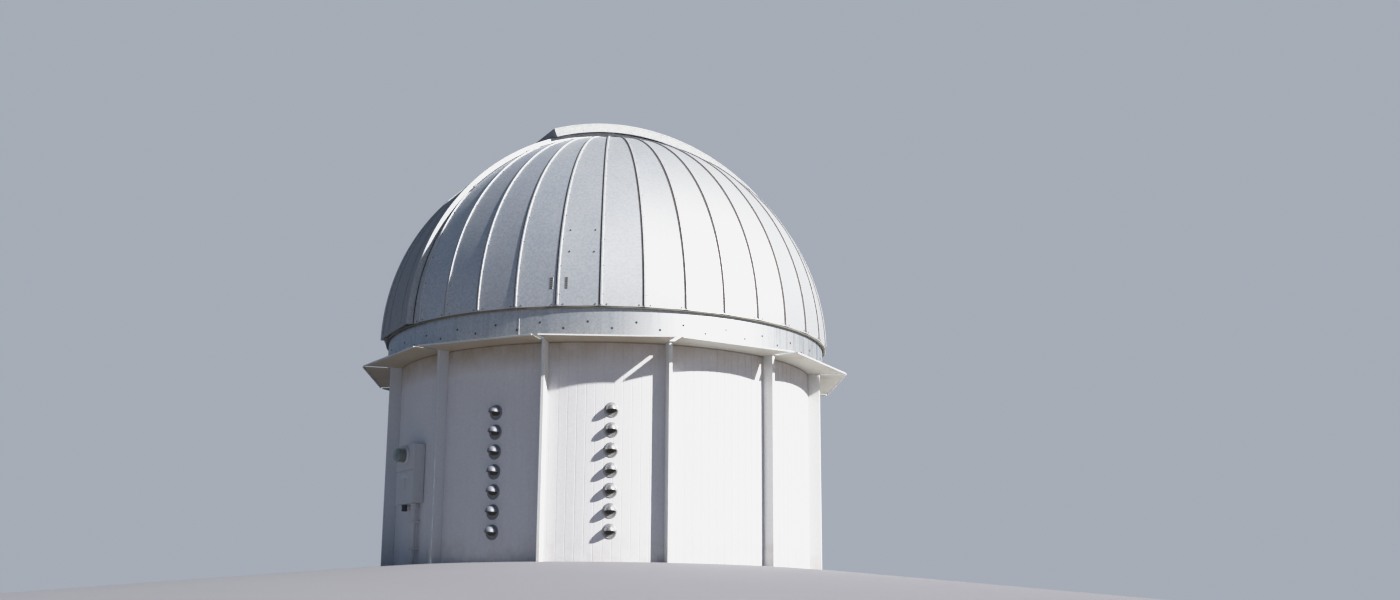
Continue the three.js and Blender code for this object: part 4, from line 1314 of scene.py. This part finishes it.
def vent_bodies(azimuth, height):
    """A flange with a rolled rim round a bore, a hood over its upper part with a dark lining that paints the
    shade under it, a bead of seal round the flange, the insect screen, dark to paint the shade deep in the
    duct, and the lower inside of the duct, which is deepest at its middle. The hood is half a blunt egg with
    depth^n + radius^n = 1, drawn by the angle from its left pole and the angle round that axis; its lower
    edge runs from the mouth's drop at the wall, up by the mouth's rise to the front."""
    vent, wall = sizes().vent, sizes().wall
    flange, bore, out = vent.flange, vent.bore, vent.flange_depth

    def face(radius):
        mouth = vent.mouth_rise - vent.mouth_drop / radius * (1.0 - np.sin(POLE_STEPS))
        turn = mouth + (np.pi / 2.0 - mouth) * HOOD_ROWS
        depth, up = np.sin(POLE_STEPS) * np.cos(turn), np.sin(POLE_STEPS) * np.sin(turn)
        side = -np.cos(POLE_STEPS)
        blunt = (depth ** vent.bluntness + np.hypot(up, side) ** vent.bluntness) ** (-1.0 / vent.bluntness)
        return place(azimuth, wall.outer + 0.002 + vent.reach * (radius / vent.radius) * depth * blunt,
                     height + vent.oval * radius * up * blunt, radius * side * blunt)

    def ring(depth, radius):
        return hoop(place(azimuth, wall.outer + np.array(depth),
                          height + vent.oval * radius * np.sin(AROUND_VENT), radius * np.cos(AROUND_VENT)))

    rim_depth = [INTO_WALL, 0.003, 0.006, out, out - 0.001, out - 0.003, 0.002, INTO_WALL]
    rim_radius = [flange, flange, flange - 0.002, flange - 0.006, vent.radius, bore + 0.001, bore, bore]
    rim = ring(rim_depth, np.array(rim_radius))
    joint = ring([INTO_WALL, 0.001, 0.002, INTO_WALL], flange + np.array([0.004, 0.003, GAP, GAP]))
    shelf = 0.002 + vent.sill * np.maximum(-np.sin(AROUND_VENT), 0.0) ** 2
    sill = ring([INTO_WALL, 0.003, 0.0022, INTO_WALL], bore - GAP - shelf * np.array([0.0, 0.0, 1.0, 1.0]))
    screen_radius = bore + 0.002
    return {
        "hoods": [slab(face(vent.radius), face(vent.radius - 0.0015)), rim],
        # dark lining: painted shade under the hood
        "linings": [slab(face(vent.radius - 0.0018), face(vent.radius - 0.0028))],
        "joints": [joint],
        "sills": [sill],
        # dark screen: painted shade deep in the duct
        "screens": studs([place(azimuth, wall.outer, height)], place(azimuth, 1.0, 0.0),
                         [(screen_radius, INTO_WALL), (screen_radius, 0.001)], 24),
    }


def build_vents():
    """Two columns of like vents; the column in the shade wears a darker copy of the vent metal, which is
    painted shade.
    """
    vent = sizes().vent
    heights = vent.top - vent.pitch * np.arange(vent.rows)
    for name, (degrees, metal) in VENT_COLUMNS.items():
        vents = [vent_bodies(math.radians(degrees), height) for height in heights]
        for part, finish in ({"hoods": metal} | DUCT_FINISHES).items():
            bodies = sum((each[part] for each in vents), [])
            put(f"vent_{part}_{name}", bodies, finish, "building", f"vented_wall_{name}")


# Electrical cabinet

CABINET_SEAM = 1.075
HASP_HEIGHTS = (0.845, 0.975)
PLATE_HEIGHTS = (0.990, 1.040)
STRAP_HEIGHTS = (0.180, 0.480)
WALL_FACET = math.radians(5.0)
FACET_MIDDLE = math.radians(-60.0)
HUB = [(0.026, 0.0), (0.034, 0.006), (0.034, 0.020), (0.030, 0.024), (0.030, 0.045), (0.034, 0.050),
       (0.034, 0.078)]
UP = [0.0, 0.0, 1.0]


def cabinet_back():
    """Distance from the middle to the cabinet's back, just off the flat facet of the CAD wall behind it."""
    within_facet = abs(sizes().cabinet.azimuth - FACET_MIDDLE) % WALL_FACET
    return sizes().wall.outer * math.cos(within_facet) + GAP


def build_cabinet():
    """Box with a cover that stands proud in two parts, a hasp and a pale plate that paints a patch of light,
    a hub below it and the conduit to the ground, held by straps."""
    cabinet = sizes().cabinet
    azimuth, bottom, top = cabinet.azimuth, cabinet.bottom, cabinet.top
    back, half, rim, seam_half = cabinet_back(), cabinet.width / 2.0, 0.012, 0.004
    face = back + cabinet.depth
    cover_back, low_top, high_foot = face - rim - 0.002, CABINET_SEAM - seam_half, CABINET_SEAM + seam_half
    parts = [
        block(azimuth, (back, face - rim), (0.006 - half, half - 0.006), (bottom + 0.004, top - 0.004),
              0.003),
        block(azimuth, (cover_back, face - 0.004), (-half, half), (bottom, low_top), 0.004),
        block(azimuth, (cover_back, face), (-half, half), (high_foot, top), 0.004),
        block(azimuth, (face - 0.006, face + 0.012), (-0.018, 0.018), HASP_HEIGHTS),
    ]
    # a plate in the pale trim paint: a painted patch of light on the cabinet's cover
    plate = block(azimuth, (face - 0.006, face + 0.003), (-0.070, 0.070), PLATE_HEIGHTS)
    put("cabinet_box", parts, "cabinet", "building", "electrical_cabinet")
    put("cabinet_plate_painted_light", [plate], "trim", "building", "electrical_cabinet")
    pipe_out, side = back + cabinet.pipe_from_wall, cabinet.pipe_side
    foot = place(azimuth, pipe_out, bottom - 0.070, cabinet.hub_side)
    put("cabinet_hub", studs([foot], UP, HUB, 20), "steel", "building", "electrical_cabinet")
    r, end = cabinet.pipe_radius, bottom - GAP
    nut, neck = r + 0.012, r + 0.006
    pipe = [(r, 0.0), (r, end - 0.060), (nut, end - 0.056), (nut, end - 0.034), (neck, end - 0.030),
            (neck, end - 0.014), (nut, end - 0.010), (nut, end)]
    riser = studs([place(azimuth, pipe_out, 0.0, side)], UP, pipe, 24)
    put("conduit_riser", riser, "cabinet", "building", "cabinet_conduit")
    reach = r + 0.004
    depth = (back - 0.004, pipe_out + r + 0.002)
    straps = [block(azimuth, depth, (side - reach, side + reach), (z, z + 0.024)) for z in STRAP_HEIGHTS]
    put("conduit_straps", straps, "cabinet", "building")


def build_meter():
    """The meter: a ring with a rolled rim, the works on their base, and a glass cover over them, each a
    profile of (radius, height) corners turned about the direction out of the cabinet."""
    cabinet = sizes().cabinet
    azimuth = cabinet.azimuth
    back = cabinet_back() + GAP + cabinet.depth
    outer, cover, reach = cabinet.meter_ring, cabinet.meter_cover, cabinet.meter_reach
    ring = [(outer - 0.006, 0.0), (outer, 0.003), (outer, 0.014), (outer - 0.003, 0.019),
            (outer - 0.012, 0.023), (cover + 0.003, 0.024), (cover + 0.002, 0.018), (cover - 0.010, 0.016)]
    works = [(cover - 0.012, 0.014), (cover - 0.012, 0.060), (cover - 0.020, 0.066), (cover - 0.020, 0.088),
             (cover - 0.024, 0.092), (0.010, 0.093)]
    outside = [(cover, 0.017), (cover, 0.095), (cover - 0.003, 0.108), (cover - 0.012, 0.119),
               (cover - 0.030, reach - 0.001), (0.004, reach)]
    inside = [(0.004, reach - 0.003), (cover - 0.031, reach - 0.004), (cover - 0.014, 0.116),
              (cover - 0.006, 0.106), (cover - 0.003, 0.094), (cover - 0.003, 0.017)]
    centre, out = [place(azimuth, back, cabinet.meter_height)], place(azimuth, 1.0, 0.0)
    put("meter_ring", studs(centre, out, ring, 48), "cabinet", "building", "electric_meter")
    put("meter_works", studs(centre, out, works, 40), "dial", "building", "electric_meter")
    around = np.linspace(0.0, 2.0 * np.pi, 48, endpoint=False)[:, None]
    radius, depth = np.array(outside + inside).T
    up, side = radius * np.sin(around), radius * np.cos(around)
    shell = place(azimuth, back + depth, cabinet.meter_height + up, side)
    put("meter_cover", [hoop(shell)], "glass", "building", "electric_meter")


# Door

DOOR_FRAME_DEPTH = (2.375, 2.560)
LOCK_RAIL = (0.95, 1.11)
HINGE_HEIGHTS = np.array([0.25, 1.02, 1.80])
KNOB_HEIGHT = 1.0
KNOB = [(0.032, -0.002), (0.032, 0.004), (0.028, 0.007), (0.012, 0.009), (0.011, 0.034), (0.016, 0.042),
        (0.025, 0.050), (0.028, 0.060), (0.025, 0.069), (0.012, 0.0735)]


def at_back(depth, side, height, chamfer=0.002):
    """A block of the door, which faces straight back."""
    return block(math.pi, depth, side, height, chamfer)


def build_door():
    """Frame with a rebate, a leaf with two sunk panels, three hinges, and a knob on its rose."""
    door = sizes().door
    half, head, leaf_back = door.half_width, door.height, door.leaf_back
    rough = half + door.frame - GAP
    stop_half = 0.013
    frame_parts = [
        at_back(DOOR_FRAME_DEPTH, (-rough, -half), (0.0, head), 0.003),
        at_back(DOOR_FRAME_DEPTH, (half, rough), (0.0, head), 0.003),
        at_back(DOOR_FRAME_DEPTH, (-rough, rough), (head, head + door.frame), 0.003),
    ]
    rebate = (leaf_back - 0.020, leaf_back - 0.002)
    frame_parts += [at_back(rebate, (middle - stop_half, middle + stop_half), (0.0, head))
                    for middle in (-half, half)]
    put("door_frame_members", frame_parts, "trim", "building", "door_frame")
    leaf_face = leaf_back + door.leaf_thickness
    leaf = (leaf_back, leaf_face)
    left, right = 0.003 - half, half - GAP
    foot, top, rail = 0.006, head - 0.003, 0.115
    between = (left + rail - 0.004, right - rail + 0.004)
    lock_low, lock_high = LOCK_RAIL
    core = (leaf_back + 0.008, leaf_face - 0.008)
    parts = [at_back(core, (left + 0.01, right - 0.01), (0.016, top - 0.010))]
    parts += [at_back(leaf, side, (foot, top)) for side in ((left, left + rail), (right - rail, right))]
    parts += [at_back(leaf, between, span) for span in ((foot, foot + 0.20), LOCK_RAIL, (top - rail, top))]
    parts += [at_back((leaf_back + 0.004, leaf_face - 0.003), (left + rail + 0.03, right - rail - 0.03),
                      (low + 0.03, high - 0.03), 0.006)
              for low, high in ((foot + 0.20, lock_low), (lock_high, top - rail))]
    put("door_leaf_panels", parts, "door", "building", "door_leaf")
    knob = studs([place(math.pi, leaf_face, KNOB_HEIGHT, 0.073 - half)], place(math.pi, 1.0, 0.0), KNOB, 28)
    put("door_knob", knob, "hood", "building", "door_leaf")
    hinges = studs(place(math.pi, leaf_face + 0.003, HINGE_HEIGHTS, half - 0.004), UP,
                   [(0.007, -0.045), (0.007, 0.045)], 12)
    put("door_hinges", hinges, "steel", "building", "door_leaf")


# Carried-over solids and the stage

def finish_track():
    """The hidden track keeps its solids and gets the dark steel finish."""
    for name in ("support_rollers", "dome_base_ring"):
        node = frame["nodes"][name]
        node.data.materials.clear()
        node.data.materials.append(material("steel"))


LEVEL_RINGS = (0.02, 1.5, 2.6)
FALLING_RINGS = (2.9, 3.2, 4.0, 6.0, 10.0, 20.0, 45.0, 90.0)
FLOOR_EASING = 0.15
FLOOR_GAP = 0.0005
SENSOR_WIDTH = 36.0


def build_floor():
    """Level round the building, and falling away as z = -(r - mound) tan(slope) beyond it."""
    stage = sizes().stage
    radius = np.array([*LEVEL_RINGS, stage.mound, *FALLING_RINGS])
    beyond = np.sqrt(np.maximum(radius - stage.mound, 0.0) ** 2 + FLOOR_EASING ** 2) - FLOOR_EASING
    height = -beyond * math.tan(stage.slope) - FLOOR_GAP
    azimuth = np.linspace(0.0, 2.0 * np.pi, 96, endpoint=False)
    points = place(azimuth, radius[:, None], height[:, None]).reshape(-1, 3)
    quads = grid_quads(len(radius), len(azimuth), wrap_columns=True)[:, ::-1]
    mesh = bpy.data.meshes.new("floor")
    mesh.from_pydata(points, [], quads.tolist())
    mesh.shade_smooth()
    shade = (0.95, 0.95, 0.95)
    made = speckled("studio floor", sizes().finish.floor, 0.9, 0.0, shade, 0.6, 3.0, 0.4)
    mesh.materials.append(made.material)
    floor = bpy.data.objects.new("floor", mesh)
    bpy.context.scene.collection.objects.link(floor)


def aimed(name, data, right, up, back, place_at=(0.0, 0.0, 0.0)):
    """A camera or a light whose own axes are these three directions."""
    made = bpy.data.objects.new(name, data)
    rows = np.eye(4)
    rows[:3] = np.stack([right, up, back, place_at], axis=1)
    made.matrix_world = Matrix(rows.tolist())
    bpy.context.scene.collection.objects.link(made)
    return made


def build_camera():
    """Camera at the front, below the building's foot, turned by pitch, yaw and roll."""
    stage = sizes().stage
    pitch, yaw, roll = stage.camera_pitch, stage.camera_yaw, stage.camera_roll
    forward = np.array([math.sin(yaw) * math.cos(pitch), math.cos(yaw) * math.cos(pitch), math.sin(pitch)])
    right = np.array([math.cos(yaw), -math.sin(yaw), 0.0])
    up = np.cross(right, forward)
    leaned_right = right * math.cos(roll) + up * math.sin(roll)
    leaned_up = up * math.cos(roll) - right * math.sin(roll)
    data = bpy.data.cameras.new("camera")
    data.sensor_fit = "HORIZONTAL"
    data.sensor_width = SENSOR_WIDTH
    data.lens = stage.lens
    spot = (0.0, -stage.camera_distance, stage.camera_height)
    bpy.context.scene.camera = aimed("camera", data, leaned_right, leaned_up, -forward, spot)


KEY_COLOUR = (1.0, 0.975, 0.94)
SURROUND_SLOPE = (0.5, 0.0, -0.38)
SURROUND_DARK = (0.098, 0.138, 0.205, 1.0)
SURROUND_MIDDLE = (0.112, 0.150, 0.214, 1.0)
SURROUND_LIGHT = (0.19, 0.215, 0.26, 1.0)
MIDDLE_STOP = 0.35
BACKDROP = (0.36, 0.39, 0.44, 1.0)
HIGHLIGHT_CURVE = ((0.1, 0.2), (0.35, 0.70), (0.5, 0.84), (0.75, 0.90))
HIGHLIGHT_END = 0.905


def build_light():
    """One key light that shines from its azimuth and height."""
    stage = sizes().stage
    light = bpy.data.lights.new("key_light", "SUN")
    light.energy = stage.sun_power
    light.angle = stage.sun_size
    light.color = KEY_COLOUR
    towards = place(stage.sun_azimuth, math.cos(stage.sun_height), math.sin(stage.sun_height))
    back, across, along = frames_of(towards)
    aimed("key_light", light, across, along, back)


def build_surround():
    """A dim studio surround, shaded along 0.5 + slope . direction so that it is darker and bluer overhead and
    away from the light, with a plain pale backdrop behind the object."""
    world = bpy.data.worlds.new("studio")
    world.use_nodes = True
    tree = world.node_tree
    tree.nodes.clear()
    new, link = tree.nodes.new, tree.links.new
    slope = new("ShaderNodeVectorMath")
    slope.operation = "DOT_PRODUCT"
    slope.inputs[1].default_value = SURROUND_SLOPE
    link(new("ShaderNodeTexCoord").outputs["Generated"], slope.inputs[0])
    lean = new("ShaderNodeMath")
    lean.inputs[1].default_value = 0.5
    link(slope.outputs["Value"], lean.inputs[0])
    ramp = new("ShaderNodeValToRGB")
    ramp.color_ramp.elements[0].color = SURROUND_DARK
    ramp.color_ramp.elements.new(MIDDLE_STOP).color = SURROUND_MIDDLE
    ramp.color_ramp.elements[-1].color = SURROUND_LIGHT
    link(lean.outputs[0], ramp.inputs["Fac"])
    surround, backdrop = new("ShaderNodeBackground"), new("ShaderNodeBackground")
    link(ramp.outputs["Color"], surround.inputs["Color"])
    backdrop.inputs["Color"].default_value = BACKDROP
    mix = new("ShaderNodeMixShader")
    link(new("ShaderNodeLightPath").outputs["Is Camera Ray"], mix.inputs["Fac"])
    link(surround.outputs["Background"], mix.inputs[1])
    link(backdrop.outputs["Background"], mix.inputs[2])
    link(mix.outputs["Shader"], new("ShaderNodeOutputWorld").inputs["Surface"])
    bpy.context.scene.world = world


def roll_off_highlights():
    """Standard view, with a curve that leaves the shade alone and bends the highlights over below white."""
    view = bpy.context.scene.view_settings
    view.view_transform = "Standard"
    view.use_curve_mapping = True
    curves = view.curve_mapping
    curves.white_level = (2.0, 2.0, 2.0)
    curves.extend = "HORIZONTAL"
    points = curves.curves[3].points
    points[0].location = (0.0, 0.0)
    points[1].location = (1.0, HIGHLIGHT_END)
    for tone_in, tone_out in HIGHLIGHT_CURVE:
        points.new(tone_in, tone_out)
    points[-1].handle_type = "VECTOR"
    curves.update()


# Operators, panel and registration

def run(*builders):
    """Runs the builders in order, for an operator to return."""
    for build in builders:
        build()
    return {"FINISHED"}


class OBSERVATORY_OT_stage(bpy.types.Operator):
    """Make the floor, the light and the camera"""
    bl_idname = "observatory.stage"
    bl_label = "Stage"

    def execute(self, context):
        return run(build_floor, build_camera, build_light, build_surround, roll_off_highlights)


class OBSERVATORY_OT_wall(bpy.types.Operator):
    """Make the round wall with its grooved siding"""
    bl_idname = "observatory.wall"
    bl_label = "Round wall"

    def execute(self, context):
        return run(build_wall)


class OBSERVATORY_OT_fins(bpy.types.Operator):
    """Make the fins and the ring beam on them"""
    bl_idname = "observatory.fins"
    bl_label = "Fins and ring beam"

    def execute(self, context):
        return run(build_fins)


class OBSERVATORY_OT_eave(bpy.types.Operator):
    """Make the twelve plates of the eave"""
    bl_idname = "observatory.eave"
    bl_label = "Eave"

    def execute(self, context):
        return run(build_eave)


class OBSERVATORY_OT_drum(bpy.types.Operator):
    """Make the stationary drum and its screws"""
    bl_idname = "observatory.drum"
    bl_label = "Drum"

    def execute(self, context):
        return run(build_drum)


class OBSERVATORY_OT_skin(bpy.types.Operator):
    """Make the gores, ribs, rivets and louvres of the dome"""
    bl_idname = "observatory.skin"
    bl_label = "Dome skin"

    def execute(self, context):
        return run(build_skin, build_louvres)


class OBSERVATORY_OT_curbs(bpy.types.Operator):
    """Make the curbs of the slit with the dark strips along their feet, their flashings and clips"""
    bl_idname = "observatory.curbs"
    bl_label = "Slit curbs"

    def execute(self, context):
        return run(build_curbs)


class OBSERVATORY_OT_front_shutter(bpy.types.Operator):
    """Make the front shutter"""
    bl_idname = "observatory.front_shutter"
    bl_label = "Front shutter"

    def execute(self, context):
        return run(build_front_shutter)


class OBSERVATORY_OT_upper_shutter(bpy.types.Operator):
    """Make the upper shutter"""
    bl_idname = "observatory.upper_shutter"
    bl_label = "Upper shutter"

    def execute(self, context):
        return run(build_upper_shutter)


class OBSERVATORY_OT_rear_panel(bpy.types.Operator):
    """Make the fixed panel behind the slit"""
    bl_idname = "observatory.rear_panel"
    bl_label = "Rear panel"

    def execute(self, context):
        return run(build_rear_panel)


class OBSERVATORY_OT_vents(bpy.types.Operator):
    """Make the two columns of round vents"""
    bl_idname = "observatory.vents"
    bl_label = "Vents"

    def execute(self, context):
        return run(build_vents)


class OBSERVATORY_OT_cabinet(bpy.types.Operator):
    """Make the electrical cabinet, its meter and its conduit"""
    bl_idname = "observatory.cabinet"
    bl_label = "Electrical cabinet"

    def execute(self, context):
        return run(build_cabinet, build_meter)


class OBSERVATORY_OT_door(bpy.types.Operator):
    """Make the door and its frame"""
    bl_idname = "observatory.door"
    bl_label = "Door"

    def execute(self, context):
        return run(build_door)


class OBSERVATORY_OT_track(bpy.types.Operator):
    """Give the rollers and the base ring their finish"""
    bl_idname = "observatory.track"
    bl_label = "Roller track"

    def execute(self, context):
        return run(finish_track)


OPERATORS = (
    OBSERVATORY_OT_stage, OBSERVATORY_OT_wall, OBSERVATORY_OT_fins, OBSERVATORY_OT_eave,
    OBSERVATORY_OT_drum, OBSERVATORY_OT_skin, OBSERVATORY_OT_curbs, OBSERVATORY_OT_front_shutter,
    OBSERVATORY_OT_upper_shutter, OBSERVATORY_OT_rear_panel, OBSERVATORY_OT_vents,
    OBSERVATORY_OT_cabinet, OBSERVATORY_OT_door, OBSERVATORY_OT_track,
)


class OBSERVATORY_PT_pieces(bpy.types.Panel):
    """Lists the pieces of the observatory dome"""
    bl_idname = "OBSERVATORY_PT_pieces"
    bl_label = "Observatory dome"
    bl_space_type = "VIEW_3D"
    bl_region_type = "UI"
    bl_category = "Observatory"

    def draw(self, context):
        column = self.layout.column()
        for operator in OPERATORS:
            column.operator(operator.bl_idname)


SIZE_GROUPS = (
    DomeSizes, SlitSizes, WallSizes, VentSizes, CabinetSizes, DoorSizes, StageSizes, FinishColours,
    ObservatorySizes,
)
CLASSES = (*SIZE_GROUPS, *OPERATORS, OBSERVATORY_PT_pieces)


def register():
    for each in CLASSES:
        bpy.utils.register_class(each)
    bpy.types.Scene.observatory = PointerProperty(type=ObservatorySizes)


def unregister():
    del bpy.types.Scene.observatory
    for each in reversed(CLASSES):
        bpy.utils.unregister_class(each)


def main():
    register()
    for operator in OPERATORS:
        family, name = operator.bl_idname.split(".")
        getattr(getattr(bpy.ops, family), name)()
    bpy.context.view_layer.update()


if __name__ == "__main__":
    main()
